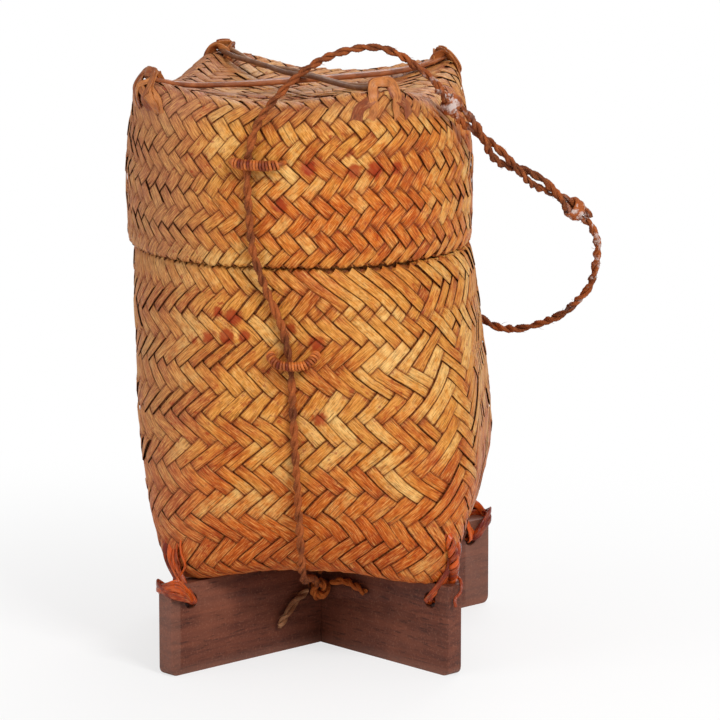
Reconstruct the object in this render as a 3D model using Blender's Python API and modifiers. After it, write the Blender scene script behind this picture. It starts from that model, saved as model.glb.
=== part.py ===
"""Sticky rice basket: a double-walled plaited basket with a lid, on a cross foot, with a carrying cord.

Metres, +Z up. The origin is on the floor where the two foot planks cross, and -Y is the front.
"""
import math

import bmesh
import bpy
import numpy as np
from mathutils import Matrix, Vector

# Clearances
GAP = 0.0003
LAYER_GAP = 0.0007

# Foot
PLANK_HEIGHT = 0.038
PLANK_THICKNESS = 0.0075
PLANK_ROUNDING = 0.003
REACH_FRONT_LEFT = 0.087
REACH_FRONT_RIGHT = 0.081
REACH_BACK_RIGHT = 0.096
REACH_BACK_LEFT = 0.085
TIE_HOLE = 0.0068
TIE_HOLE_FROM_END = 0.011
TIE_HOLE_BELOW_TOP = 0.0075

# Plaited walls
BODY_WALL = 0.0014
LINER_WALL = 0.0013
LID_WALL = 0.0013
LID_LINER_WALL = 0.0012
SEGMENTS = 40

# Body, square and standing on its corners at the bottom, round at the rim
BODY_TURN = math.radians(-4.0)
BODY_HEIGHT = 0.1334
BASE_HALF = 0.0590
BASE_ROUNDING = 0.014
BASE_EDGE = 0.006
BASE_LIFT = 0.0046
BASE_CROWN = 0.0008
BELLY_HALF = 0.0708
BELLY_SHARE = 0.50
RIM_RADIUS = 0.0698
DRAW_SHARE = 0.82
BODY_LEAN = 0.085
LEAN_START = 0.045
CORNER_POCKET = 0.0055
POCKET_SHARE = 0.4

# Neck of the inner basket
NECK_PLAY = 0.0018
NECK_RISE = 0.032
NECK_TAPER = 0.0006
NECK_FOOT = 0.002
NECK_BEND = 0.020
SHOULDER_DROP = 0.009
NECK_X = -0.0082

# Lid, round at the rim, with a square hollow top and four raised corners
LID_TURN = math.radians(-14.0)
LID_X = -0.0086
LID_HEIGHT = 0.065
LID_SHOULDER = 0.028
LID_RIM_RADIUS = 0.0712
LID_BULGE = 0.0720
LID_TOP_HALF = 0.0525
LID_TOP_CORNER = 0.0712
LID_PEAK = 0.0065
LID_DISH = 0.004
LID_STEPS = 6

# Stays and ears of the lid
THICK_STAY_WIDTH = 0.0052
THICK_STAY_THICKNESS = 0.0024
THIN_STAY = 0.0021
THIN_STAY_SPACING = 0.0027
STAY_INSET = 0.0006
STAY_LIFT = 0.0020
THIN_STAY_LIFT = 0.0006
EAR_CANE = 0.0024
EAR_SLACK = 0.0004
EAR_INSET = 0.0018
EAR_LEAN = 0.0012
EAR_SPREAD = math.radians(8.5)
EAR_DROP = 0.0050

# Cane rings that hold the cord
RING_CANE = 0.0016
RING_WIRE = 0.0010
RING_WIRE_PITCH = 0.0020
RING_TURNS = 7
BODY_RING_SPAN = 0.0185
LID_RING_SPAN = 0.0215
BODY_RING_DROP = 0.0345
BODY_RING_SAG = 0.004
LID_RING_RISE = 0.043
LID_RING_SAG = 0.002
RING_ANGLE_BODY = math.radians(-92.8)
RING_ANGLE_LID = math.radians(-101.0)

# Lashings between the body's corners and the foot
TIE_CANE = 0.0020
TIE_PITCH = 0.0034
TIE_LOOPS = 2
TIE_START_HEIGHT = 0.0088
TIE_ENTRY_HEIGHT = 0.0150
TIE_ENTRY_SIDE = 0.0056
TIE_RISE = 0.0025
TIE_SLOT_MARGIN = 0.0029
LOOP_POINTS = 24
WIRE_POINTS = 9

# Carrying cord
CORD = 0.0034
CORD_POINT_SPACING = 0.0135
SPLICE_TURN = 0.050
SPLICE_GAP = 0.0007
SPLICE_RAMP = 0.012
BINDING_LENGTH = 0.008
BINDING_WALL = 0.0010
KNOT_RADIUS = 0.0045
TAIL = 0.0032

# Route of the cord from the knot, under the basket, up its front and over the lid to the splice
FRONT_ROUTE = [
    (-0.0006, -0.0182, 0.0285), (-0.0018, -0.0300, 0.0335), (-0.0032, -0.0450, 0.0375),
    (-0.0042, -0.0560, 0.0392), (-0.0047, -0.0620, 0.0420), (-0.0052, -0.0657, 0.0500),
    (-0.0060, -0.0704, 0.0680), (-0.0070, -0.0724, 0.0900), (-0.0082, -0.0727, 0.1120),
    (-0.0092, -0.0727, 0.1320), (-0.0125, -0.0730, 0.1480), (-0.0190, -0.0734, 0.1640),
    (-0.0240, -0.0733, 0.1790), (-0.0256, -0.0724, 0.1950), (-0.0262, -0.0720, 0.2050),
    (-0.0262, -0.0707, 0.2130), (-0.0248, -0.0681, 0.2225), (-0.0208, -0.0645, 0.2322),
    (-0.0138, -0.0590, 0.2408), (-0.0059, -0.0535, 0.2480), (0.0040, -0.0490, 0.2540),
    (0.0139, -0.0460, 0.2571), (0.0259, -0.0425, 0.2576), (0.0341, -0.0395, 0.2540),
    (0.0421, -0.0365, 0.2480),
]
# Route of the stretch where the two lengths of cord are twisted together
SPLICE_ROUTE = [
    (0.0421, -0.0365, 0.2480), (0.0483, -0.0345, 0.2410), (0.0548, -0.0315, 0.2330),
    (0.0648, -0.0255, 0.2215), (0.0750, -0.0180, 0.2090), (0.0833, -0.0110, 0.2022),
    (0.0916, -0.0040, 0.1962), (0.1020, 0.0040, 0.1872), (0.1124, 0.0130, 0.1776),
    (0.1150, 0.0175, 0.1705),
]
# Route from the splice round behind the basket, down its back and under it to the knot
BACK_ROUTE = [
    (0.1150, 0.0175, 0.1705), (0.1158, 0.0230, 0.1640), (0.1130, 0.0320, 0.1473),
    (0.1068, 0.0370, 0.1386), (0.1006, 0.0420, 0.1324), (0.0912, 0.0470, 0.1275),
    (0.0814, 0.0510, 0.1245), (0.0728, 0.0560, 0.1248), (0.0650, 0.0610, 0.1290),
    (0.0520, 0.0690, 0.1440), (0.0410, 0.0745, 0.1640), (0.0340, 0.0775, 0.1880),
    (0.0285, 0.0785, 0.2080), (0.0225, 0.0775, 0.2220), (0.0160, 0.0752, 0.2275),
    (0.0115, 0.0718, 0.2243), (0.0093, 0.0706, 0.2185), (0.0078, 0.0710, 0.2130),
    (0.0072, 0.0722, 0.2050), (0.0063, 0.0732, 0.1930), (0.0036, 0.0742, 0.1720),
    (0.0010, 0.0733, 0.1520),
    (-0.0006, 0.0728, 0.1320), (0.0000, 0.0729, 0.1120), (0.0010, 0.0726, 0.0900),
    (0.0018, 0.0704, 0.0680), (0.0020, 0.0657, 0.0500), (0.0020, 0.0622, 0.0420),
    (0.0018, 0.0560, 0.0394), (0.0012, 0.0400, 0.0398), (0.0006, 0.0200, 0.0403),
    (0.0002, 0.0000, 0.0404), (0.0001, -0.0075, 0.0402), (0.0001, -0.0110, 0.0378),
    (0.0001, -0.0128, 0.0340), (0.0001, -0.0131, 0.0318),
]
KNOT_PLACE = (0.0, -0.0132, 0.0262)
RIGHT_TAIL_ROUTE = [
    (0.0055, -0.0150, 0.0285), (0.0100, -0.0186, 0.0300), (0.0150, -0.0234, 0.0292),
    (0.0195, -0.0276, 0.0272),
]
LEFT_TAIL_ROUTE = [
    (-0.0052, -0.0148, 0.0245), (-0.0085, -0.0178, 0.0225), (-0.0125, -0.0215, 0.0175),
    (-0.0165, -0.0252, 0.0115),
]

NECK_RADIUS = LID_RIM_RADIUS - LID_WALL - LAYER_GAP - LID_LINER_WALL - NECK_PLAY
RIM_Z = PLANK_HEIGHT + BODY_HEIGHT
LID_RIM_Z = RIM_Z + GAP
WHOLE = 2.0 * math.pi
QUARTER = 0.5 * math.pi

CANE = ((0.43, 0.15, 0.06), 0.45)
DARK_CANE = ((0.26, 0.10, 0.06), 0.50)
STRAW = ((0.58, 0.32, 0.12), 0.60)
PALE_STRAW = ((0.60, 0.40, 0.19), 0.65)
LASHING = ((0.38, 0.09, 0.03), 0.45)
WOOD = ((0.13, 0.05, 0.04), 0.60)
TWINE = ((0.36, 0.13, 0.04), 0.85)


def clear_scene():
    for item in list(bpy.data.objects):
        bpy.data.objects.remove(item, do_unlink=True)


def new_collection(name):
    made = bpy.data.collections.new(name)
    bpy.context.scene.collection.children.link(made)
    return made


def finish(item, look, smooth_angle=35.0):
    """Move an object to the basket's collection, with its own material and smooth shading."""
    for holder in list(item.users_collection):
        holder.objects.unlink(item)
    bpy.data.collections["sticky_rice_basket"].objects.link(item)
    colour, roughness = look
    made = bpy.data.materials.new(item.name)
    made.use_nodes = True
    shader = made.node_tree.nodes["Principled BSDF"]
    shader.inputs["Base Color"].default_value = (*colour, 1.0)
    shader.inputs["Roughness"].default_value = roughness
    shader.inputs["Metallic"].default_value = 0.0
    item.data.materials.append(made)
    if item.type == "MESH":
        item.data.shade_smooth()
        item.data.set_sharp_from_angle(angle=math.radians(smooth_angle))
    return item


def make_cutter(item):
    """Keep an object as a cutter: shown as a wire and never rendered."""
    for holder in list(item.users_collection):
        holder.objects.unlink(item)
    bpy.data.collections["cutters"].objects.link(item)
    item.hide_render = True
    item.display_type = "WIRE"
    return item


def add_mesh(name, form):
    """Turn a bmesh into an object."""
    bmesh.ops.recalc_face_normals(form, faces=form.faces)
    data = bpy.data.meshes.new(name)
    form.to_mesh(data)
    form.free()
    item = bpy.data.objects.new(name, data)
    bpy.context.scene.collection.objects.link(item)
    return item


def cut(item, cutter):
    change = item.modifiers.new("cut_" + cutter.name, "BOOLEAN")
    change.operation = "DIFFERENCE"
    change.object = cutter
    return change


def smooth_route(route, spacing):
    """Points along a smooth curve through the route's points, no further apart than the spacing."""
    marks = [Vector(p) for p in route]
    first = marks[0] + (marks[0] - marks[1])
    last = marks[-1] + (marks[-1] - marks[-2])
    padded = [first, *marks, last]
    points = [marks[0].copy()]
    for a, b, c, d in zip(padded, padded[1:], padded[2:], padded[3:]):
        one, two, three = (math.sqrt((q - p).length) for p, q in ((a, b), (b, c), (c, d)))
        leave = (b - a) / one - (c - a) / (one + two) + (c - b) / two
        arrive = (c - b) / two - (d - b) / (two + three) + (d - c) / three
        steps = max(1, round((c - b).length / spacing))
        for step in range(1, steps + 1):
            t = step / steps
            points.append(
                (2 * t ** 3 - 3 * t * t + 1) * b + (t ** 3 - 2 * t * t + t) * two * leave
                + (3 * t * t - 2 * t ** 3) * c + (t ** 3 - t * t) * two * arrive
            )
    return points


def even_points(points, count):
    """The given number of points at even distances along a line of points."""
    line = np.array([tuple(p) for p in points])
    steps = np.linalg.norm(np.diff(line, axis=0), axis=1)
    along = np.concatenate([[0.0], np.cumsum(steps)])
    marks = np.linspace(0.0, along[-1], count)
    return [Vector([float(np.interp(m, along, line[:, k])) for k in range(3)]) for m in marks]


def add_tube(name, points, thickness, look, resolution=1):
    """A round tube along the points, closed at both ends."""
    data = bpy.data.curves.new(name, "CURVE")
    data.dimensions = "3D"
    data.bevel_depth = thickness / 2
    data.bevel_resolution = resolution
    data.use_fill_caps = True
    line = data.splines.new("POLY")
    line.points.add(len(points) - 1)
    for knot, point in zip(line.points, points):
        knot.co = (*point, 1.0)
    item = bpy.data.objects.new(name, data)
    bpy.context.scene.collection.objects.link(item)
    return finish(item, look)


def least_gap(points, thickness, loop_length):
    """Least clear distance of a winding to its own next turns, measured between its points."""
    fine = even_points(points, 6 * len(points))
    step = (fine[1] - fine[0]).length
    skip = max(2, round(0.5 * loop_length / step))
    line = np.array([tuple(p) for p in fine])
    least = 1.0
    for index in range(len(line) - skip):
        away = np.linalg.norm(line[index + skip:] - line[index], axis=1)
        least = min(least, float(away.min()))
    return least - thickness


def print_gap(name, points, thickness, loop_length):
    gap = least_gap(points, thickness, loop_length)
    print(f"{name}: least gap between turns {1000 * gap:.2f} mm")


# Layers: a plaited wall is a stack of rounded-square rings round an upright line


def spread_angles(count):
    """Angles round a ring, closer together at its four corners."""
    even = np.linspace(0.0, WHOLE, count, endpoint=False)
    return even + 0.10 * np.sin(4 * even)


def cornerness(angle):
    """1 at the corners of a ring and 0 at the middles of its sides."""
    return (0.5 - 0.5 * math.cos(4 * angle)) ** 2


def ring_radius(angle, half, corner):
    """Distance to a rounded square with these half-widths across its sides and corners."""
    rounding = (math.sqrt(2) * half - corner) / (math.sqrt(2) - 1)
    rounding = min(max(rounding, 0.001), half)
    straight = half - rounding
    fold = abs((angle + QUARTER / 2) % QUARTER - QUARTER / 2)
    if half * math.tan(fold) <= straight:
        return half / math.cos(fold)
    along = straight * (math.cos(fold) + math.sin(fold))
    return along + math.sqrt(max(0.0, rounding ** 2 - 2 * straight ** 2 + along ** 2))


def corner_of(half, rounding):
    return (half - rounding) * math.sqrt(2) + rounding


class Layer:
    """A wall's outer surface: rows of (half, corner, height, rise at the corners) from rim to middle."""

    def __init__(self, rows, centre, turn):
        self.rows = rows
        self.centre = centre
        self.turn = turn

    def place(self, row, angle, out=0.0):
        """A point on the surface, or off it by a distance, at a row and an angle round the layer."""
        spot = self.on_surface(row, angle)
        if out == 0.0:
            return spot
        return spot + out * self.normal(row, angle)

    def on_surface(self, row, angle):
        low = min(int(row), len(self.rows) - 2)
        share = row - low
        half, corner, height, rise = (
            (1 - share) * a + share * b for a, b in zip(self.rows[low], self.rows[low + 1])
        )
        z = height + rise * cornerness(angle)
        radius = ring_radius(angle, half, corner)
        way = angle + self.turn
        return Vector((self.centre(z) + radius * math.cos(way), radius * math.sin(way), z))

    def normal(self, row, angle):
        step = 0.05
        row = min(max(row, step), len(self.rows) - 1 - step)
        down = self.on_surface(row + step, angle) - self.on_surface(row - step, angle)
        round_ = self.on_surface(row, angle + step) - self.on_surface(row, angle - step)
        normal = round_.cross(down).normalized()
        outward = self.on_surface(row, angle) - Vector((self.centre(0.0), 0.0, self.rows[-1][2]))
        middle = Vector((outward.x, outward.y, 0.0))
        if abs(normal.z) < 0.7:
            return normal if normal.dot(middle) > 0 else -normal
        upward = 1.0 if self.rows[-1][2] > self.rows[0][2] else -1.0
        return normal if normal.z * upward > 0 else -normal

    def row_at(self, height):
        """The row, with its fraction, where the side passes a height at the middles of its sides."""
        for index, (a, b) in enumerate(zip(self.rows, self.rows[1:])):
            low, high = sorted((a[2], b[2]))
            if low <= height <= high and high > low:
                return index + (height - a[2]) / (b[2] - a[2])
        raise ValueError("no row at this height")


def add_layer(name, layer, wall, look):
    """A closed wall: the layer's surface as an open sheet, thickened inwards."""
    form = bmesh.new()
    angles = spread_angles(SEGMENTS)
    rings = []
    for row in range(len(layer.rows)):
        rings.append([form.verts.new(layer.on_surface(row, angle)) for angle in angles])
    middle = form.verts.new((layer.centre(layer.rows[-1][2]), 0.0, layer.rows[-1][2]))
    for upper, lower in zip(rings, rings[1:]):
        for k in range(SEGMENTS):
            n = (k + 1) % SEGMENTS
            form.faces.new((upper[k], upper[n], lower[n], lower[k]))
    for k in range(SEGMENTS):
        form.faces.new((rings[-1][k], rings[-1][(k + 1) % SEGMENTS], middle))
    item = add_mesh(name, form)
    shell = item.modifiers.new("wall", "SOLIDIFY")
    shell.thickness = wall
    shell.offset = -1.0
    shell.use_even_offset = True
    return finish(item, look)


def body_centre(z):
    return -BODY_LEAN * max(0.0, z - PLANK_HEIGHT - LEAN_START)


def lid_centre(_):
    return LID_X


def neck_centre(z):
    """The inner basket follows the body and straightens into an upright neck."""
    share = min(1.0, max(0.0, (z - RIM_Z + NECK_BEND) / NECK_BEND))
    return (1 - share) * body_centre(z) + share * NECK_X


def body_half(share):
    """Half-width across the sides, from the base at 0 to the rim at 1."""
    swell = math.sin(QUARTER * min(1.0, share / BELLY_SHARE)) ** 0.8
    draw = max(0.0, (share - DRAW_SHARE) / (1.0 - DRAW_SHARE)) ** 2
    return BASE_HALF + (BELLY_HALF - BASE_HALF) * swell - (BELLY_HALF - RIM_RADIUS) * draw


BODY_SHARES = (1.0, 0.94, 0.85, 0.68, 0.50, 0.34, 0.21, 0.11, 0.03)
LINER_SHARES = (0.85, 0.50, 0.21, 0.11, 0.03)
BASE_SHARES = (0.72, 0.36)


BASE_CORNER = corner_of(BASE_HALF, BASE_ROUNDING)
CORNER_EDGE = 1.2 * BASE_EDGE


def drawn_down(corner):
    """How far the base has come down to its lowest, from its middle at 0 to its corners at 1."""
    return min(1.0, corner / (BASE_CORNER - CORNER_EDGE)) ** 2


def body_layer(inset=0.0, pocket=0.0, shares=BODY_SHARES):
    """The body's surface, or one inside it by an inset that leaves pockets in the lower corners."""
    base = PLANK_HEIGHT + GAP
    lowest = base + inset
    rows = []
    for share in shares:
        half = body_half(share)
        rounding = BASE_ROUNDING + (half - BASE_ROUNDING) * share ** 0.9
        corner = corner_of(half, rounding) - inset
        corner -= pocket * max(0.0, 1.0 - share / POCKET_SHARE)
        side_base = base + BASE_EDGE * 0.75
        height = side_base + share * (RIM_Z - side_base)
        near_base = (1.0 - share) ** 6
        lift = BASE_LIFT * near_base
        rise = -lift * drawn_down(corner)
        rows.append((half - inset, corner, height + lift + inset * near_base, rise))
    edge_half = BASE_HALF - inset
    edge_corner = BASE_CORNER - inset - pocket
    for drop, draw in ((0.24, 0.30), (0.0, 1.0)):
        corner = edge_corner - draw * CORNER_EDGE
        rows.append((
            edge_half - draw * BASE_EDGE, corner,
            lowest + BASE_EDGE * drop + BASE_LIFT, -BASE_LIFT * drawn_down(corner),
        ))
    for share in BASE_SHARES:
        half, corner = (edge_half - BASE_EDGE) * share, (edge_corner - CORNER_EDGE) * share
        rows.append((
            half, corner, lowest + BASE_LIFT + BASE_CROWN * (1 - share), -BASE_LIFT * drawn_down(corner),
        ))
    return rows


def lid_layer(inset=0.0, steps=LID_STEPS):
    """The lid's surface, or one inside it by an inset."""
    rows = [(LID_RIM_RADIUS - inset, LID_RIM_RADIUS - inset, LID_RIM_Z, 0.0)]
    middle = 0.4 * LID_RIM_RADIUS + 0.6 * LID_BULGE - inset
    rows.append((middle, middle, LID_RIM_Z + 0.4 * LID_SHOULDER, 0.0))
    drop = 1.15 * inset
    for step in range(steps + 1):
        turn = QUARTER * step / steps
        wide, high = math.cos(turn), math.sin(turn)
        corner = LID_TOP_CORNER + (LID_BULGE - LID_TOP_CORNER) * math.sqrt(max(0.0, wide))
        rows.append((
            LID_TOP_HALF + (LID_BULGE - LID_TOP_HALF) * wide - inset,
            corner - inset,
            LID_RIM_Z + LID_SHOULDER + (LID_HEIGHT - LID_SHOULDER) * high - drop * high,
            LID_PEAK * high ** 4 * (1.0 - inset / corner) ** 3,
        ))
    for share in (0.85, 0.55, 0.25):
        half = LID_TOP_HALF * share - inset
        corner = half * (1.0 + (LID_TOP_CORNER / LID_TOP_HALF - 1.0) * share)
        rows.append((
            half, corner, LID_RIM_Z + LID_HEIGHT - LID_DISH * (1 - share ** 2) - drop,
            LID_PEAK * (corner / LID_TOP_CORNER) ** 3,
        ))
    return rows


BODY = Layer(body_layer(), body_centre, BODY_TURN)
LID = Layer(lid_layer(), lid_centre, LID_TURN)
STAY_REACH = LID_TOP_CORNER - STAY_INSET


def liner_layer():
    """The inner basket: inside the body, then up past the rim as a neck."""
    inset = BODY_WALL + LAYER_GAP
    lower = body_layer(inset, CORNER_POCKET, LINER_SHARES)
    shoulder = RIM_RADIUS - inset - LAYER_GAP
    neck = [
        (NECK_RADIUS - NECK_TAPER, NECK_RADIUS - NECK_TAPER, RIM_Z + NECK_RISE, 0.0),
        (NECK_RADIUS, NECK_RADIUS, RIM_Z + 0.25 * NECK_RISE, 0.0),
        (NECK_RADIUS, NECK_RADIUS, RIM_Z - NECK_FOOT, 0.0),
        (shoulder, shoulder, RIM_Z - SHOULDER_DROP, 0.0),
    ]
    return Layer(neck + lower, neck_centre, BODY_TURN)


def make_baskets():
    outer = add_layer("body_outer_basket", BODY, BODY_WALL, STRAW)
    add_layer("body_inner_basket", liner_layer(), LINER_WALL, PALE_STRAW)
    add_layer("lid_outer_basket", LID, LID_WALL, STRAW)
    lid_inner = Layer(lid_layer(LID_WALL + LAYER_GAP, steps=4), lid_centre, LID_TURN)
    add_layer("lid_inner_basket", lid_inner, LID_LINER_WALL, PALE_STRAW)
    return outer


# Foot


def add_plank(name, angle, ahead, behind, notch_on_top):
    """One half of the cross: a board on edge, notched half-way where it crosses the other."""
    bpy.ops.mesh.primitive_cube_add(size=1.0)
    plank = bpy.context.object
    plank.name = name
    plank.data.name = name
    size = Matrix.Diagonal((ahead + behind, PLANK_THICKNESS, PLANK_HEIGHT, 1.0))
    plank.data.transform(Matrix.Translation(((ahead - behind) / 2, 0.0, PLANK_HEIGHT / 2)) @ size)
    plank.rotation_euler.z = angle
    form = bmesh.new()
    form.from_mesh(plank.data)
    ends = [
        edge for edge in form.edges
        if abs(edge.verts[0].co.y - edge.verts[1].co.y) > 0.001
        and max(v.co.z for v in edge.verts) < 0.001
    ]
    bmesh.ops.bevel(form, geom=ends, offset=PLANK_ROUNDING, segments=4, profile=0.5, affect="EDGES")
    form.to_mesh(plank.data)
    form.free()
    width = PLANK_THICKNESS + 2 * GAP
    half = PLANK_HEIGHT / 2
    notch_middle = 1.5 * half - GAP / 4 if notch_on_top else half / 2 + GAP / 4
    bpy.ops.mesh.primitive_cube_add(size=1.0)
    notch = bpy.context.object
    notch.name = name + "_notch"
    reach = half + GAP / 2 + 0.002
    lift = 0.001 if notch_on_top else -0.001
    place = Matrix.Translation((0.0, 0.0, notch_middle + lift))
    notch.data.transform(place @ Matrix.Diagonal((width, 3 * PLANK_THICKNESS, reach, 1.0)))
    notch.rotation_euler.z = angle
    cut(plank, make_cutter(notch))
    for sign, reach in ((1, ahead), (-1, behind)):
        bpy.ops.mesh.primitive_cylinder_add(
            vertices=16, radius=TIE_HOLE / 2, depth=3 * PLANK_THICKNESS
        )
        drill = bpy.context.object
        drill.name = f"{name}_hole_{'ahead' if sign > 0 else 'behind'}"
        drill.data.transform(Matrix.Rotation(QUARTER, 4, "X"))
        drill.data.transform(Matrix.Translation((
            sign * (reach - TIE_HOLE_FROM_END), 0.0, PLANK_HEIGHT - TIE_HOLE_BELOW_TOP,
        )))
        drill.rotation_euler.z = angle
        cut(plank, make_cutter(drill))
    return finish(plank, WOOD)


CORNERS = {
    "front_left": (math.radians(-135), REACH_FRONT_LEFT),
    "front_right": (math.radians(-45), REACH_FRONT_RIGHT),
    "back_right": (math.radians(45), REACH_BACK_RIGHT),
    "back_left": (math.radians(135), REACH_BACK_LEFT),
}


def make_foot():
    add_plank("foot_plank_lower", math.radians(45), REACH_BACK_RIGHT, REACH_FRONT_LEFT, True)
    add_plank("foot_plank_upper", math.radians(-45), REACH_FRONT_RIGHT, REACH_BACK_LEFT, False)


# Lashings


def tie_row(height):
    """The body's row at a height above the foot, measured at its corners."""
    return BODY.row_at(PLANK_HEIGHT + BASE_LIFT + height)


def tie_angle(angle, offset):
    """Round the body to one side of a lashing's middle, half-way between plank and corner."""
    return angle - BODY_TURN / 2 + offset / BASE_CORNER


def tie_loop(angle, reach, index):
    """One loop of a lashing: through the plank's hole, up outside the corner and through the wall."""
    order = index - (TIE_LOOPS - 1) / 2
    along = Vector((math.cos(angle), math.sin(angle), 0.0))
    side = Vector((-math.sin(angle), math.cos(angle), 0.0))
    hole = along * (reach - TIE_HOLE_FROM_END - order * TIE_PITCH)
    hole.z = PLANK_HEIGHT - TIE_HOLE_BELOW_TOP
    clear = PLANK_THICKNESS / 2 + TIE_CANE / 2 + 2 * GAP
    entry = TIE_ENTRY_HEIGHT + index * TIE_PITCH
    spread = TIE_ENTRY_SIDE + index * TIE_PITCH
    outside = TIE_CANE / 2 + 2 * GAP
    inside = -(BODY_WALL + TIE_CANE / 2 + 2 * GAP)
    halves = []
    for sign in (1, -1):
        way = sign * side
        start = hole + way * clear
        low = BODY.place(tie_row(TIE_START_HEIGHT), tie_angle(angle, sign * spread), outside)
        knee = start.lerp(low, 0.45 + 0.2 * index)
        knee += way * max(0.0, clear - knee.dot(way))
        under = low.dot(along) - TIE_CANE / 2 - 0.55 * index * TIE_PITCH
        knee += along * max(0.0, under - knee.dot(along))
        knee.z = PLANK_HEIGHT
        halves.append([
            start,
            knee,
            low,
            BODY.place(tie_row(entry - TIE_RISE), tie_angle(angle, sign * spread), outside),
            BODY.place(tie_row(entry), tie_angle(angle, sign * 0.95 * spread), 0.0),
            BODY.place(tie_row(entry), tie_angle(angle, sign * 0.70 * spread), inside),
        ])
    middle = BODY.place(tie_row(entry), tie_angle(angle, 0.0), inside)
    begin = hole + 0.5 * clear * side if index == 0 else hole
    return [begin, *halves[0], middle, *reversed(halves[1])]


def make_lashings(outer):
    for name, (angle, reach) in CORNERS.items():
        route = []
        for index in range(TIE_LOOPS):
            route += tie_loop(angle, reach, index)
        fine = smooth_route(route, 0.0006)
        points = even_points(fine, LOOP_POINTS * TIE_LOOPS)
        add_tube("lashing_" + name, points, TIE_CANE, LASHING)
        print_gap("lashing_" + name, points, TIE_CANE, 0.050)
        for sign in (1, -1):
            cut(outer, tie_slot(name, angle, sign))


def tie_slot(name, angle, sign):
    """The parted strips of the outer wall where a lashing's loops go in."""
    across = (TIE_LOOPS - 1) * TIE_PITCH
    row = tie_row(TIE_ENTRY_HEIGHT + across / 2)
    place = tie_angle(angle, sign * (TIE_ENTRY_SIDE + across / 2))
    middle = BODY.place(row, place)
    normal = BODY.normal(row, place)
    bpy.ops.mesh.primitive_cube_add(size=1.0)
    slot = bpy.context.object
    slot.name = f"slot_{name}_{'left' if sign > 0 else 'right'}"
    size = across + TIE_CANE + TIE_SLOT_MARGIN
    turn = normal.to_track_quat("X", "Z").to_matrix().to_4x4()
    shape = Matrix.Diagonal((8 * BODY_WALL, size, size, 1.0))
    slot.data.transform(Matrix.Translation(middle) @ turn @ shape)
    return make_cutter(slot)


# Cane rings


def make_ring(name, layer, angle, height, span, sag):
    """A belt loop of cane on the wall, and the thin cane wound round it, for the cord to pass through."""
    row = layer.row_at(height)
    spot = layer.on_surface(row, angle)
    radius = math.hypot(spot.x - layer.centre(spot.z), spot.y)
    stand = CORD + 6 * GAP + RING_WIRE + RING_CANE / 2
    core = []
    for step in range(41):
        turn = math.pi * step / 40
        across = math.copysign(abs(math.cos(turn)) ** 0.6, math.cos(turn))
        out = GAP + stand * math.sin(turn) ** 0.6
        point = layer.place(row, angle + across * span / 2 / radius, out)
        point.z -= sag * math.sin(turn) ** 2
        core.append(point)
    add_tube(name, even_points(core, 17), RING_CANE, DARK_CANE)
    fine = even_points(core, 401)
    step_length = (fine[1] - fine[0]).length
    wound = RING_TURNS * RING_WIRE_PITCH
    begin = (step_length * 400 - wound) / 2
    reach = RING_CANE / 2 + GAP + RING_WIRE / 2
    winding = []
    for step in range(RING_TURNS * WIRE_POINTS + 1):
        share = step / WIRE_POINTS
        mark = (begin + share * RING_WIRE_PITCH) / step_length
        low = int(mark)
        centre = fine[low].lerp(fine[low + 1], mark - low)
        way = (fine[low + 1] - fine[low - 1]).normalized()
        up = (Vector((0.0, 0.0, 1.0)) - way * way.z).normalized()
        out = way.cross(up)
        turn = WHOLE * share
        winding.append(centre + reach * (math.cos(turn) * up + math.sin(turn) * out))
    add_tube(name + "_winding", winding, RING_WIRE, CANE)
    print_gap(name + "_winding", winding, RING_WIRE, WHOLE * reach)


def make_rings():
    body_height = RIM_Z - BODY_RING_DROP
    lid_height = LID_RIM_Z + LID_RING_RISE
    for side, turn in (("front", 0.0), ("back", math.pi)):
        make_ring(
            "body_ring_" + side, BODY, RING_ANGLE_BODY - BODY_TURN + turn, body_height,
            BODY_RING_SPAN, BODY_RING_SAG,
        )
        make_ring(
            "lid_ring_" + side, LID, RING_ANGLE_LID - LID_TURN + turn, lid_height,
            LID_RING_SPAN, LID_RING_SAG,
        )


# Stays and ears


def lid_point(angle, reach, z):
    """A point over the lid, at an angle round it and a distance from its middle."""
    way = angle + LID_TURN
    return Vector((LID_X + reach * math.cos(way), reach * math.sin(way), z))


def stay_line(angle, low, high):
    """From corner to corner over the hollow top, bending up to both corners."""
    line = []
    for share in (-1.0, -0.88, -0.70, -0.31, 0.0, 0.31, 0.70, 0.88, 1.0):
        line.append(lid_point(angle, share * STAY_REACH, low + (high - low) * abs(share) ** 5))
    return line


def make_stays():
    top = LID_RIM_Z + LID_HEIGHT
    front_left, front_right = math.radians(-135), math.radians(-45)
    half = THICK_STAY_THICKNESS / 2
    low = top + STAY_LIFT
    line = stay_line(front_left, low, top + LID_PEAK + GAP + half)
    points = even_points(smooth_route(line, 0.001), 16)
    add_flat_cane("lid_stay_thick", points, THICK_STAY_WIDTH, THICK_STAY_THICKNESS, CANE)
    side = Vector((-math.sin(front_right + LID_TURN), math.cos(front_right + LID_TURN), 0.0))
    over = low + half + GAP + THIN_STAY / 2
    ends = top + LID_PEAK + GAP + THIN_STAY / 2 + THIN_STAY_LIFT
    for name, sign in (("left", -1), ("right", 1)):
        shift = sign * side * THIN_STAY_SPACING / 2
        line = [point + shift for point in stay_line(front_right, over, ends)]
        points = even_points(smooth_route(line, 0.001), 14)
        add_tube("lid_stay_thin_" + name, points, THIN_STAY, DARK_CANE)


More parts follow.
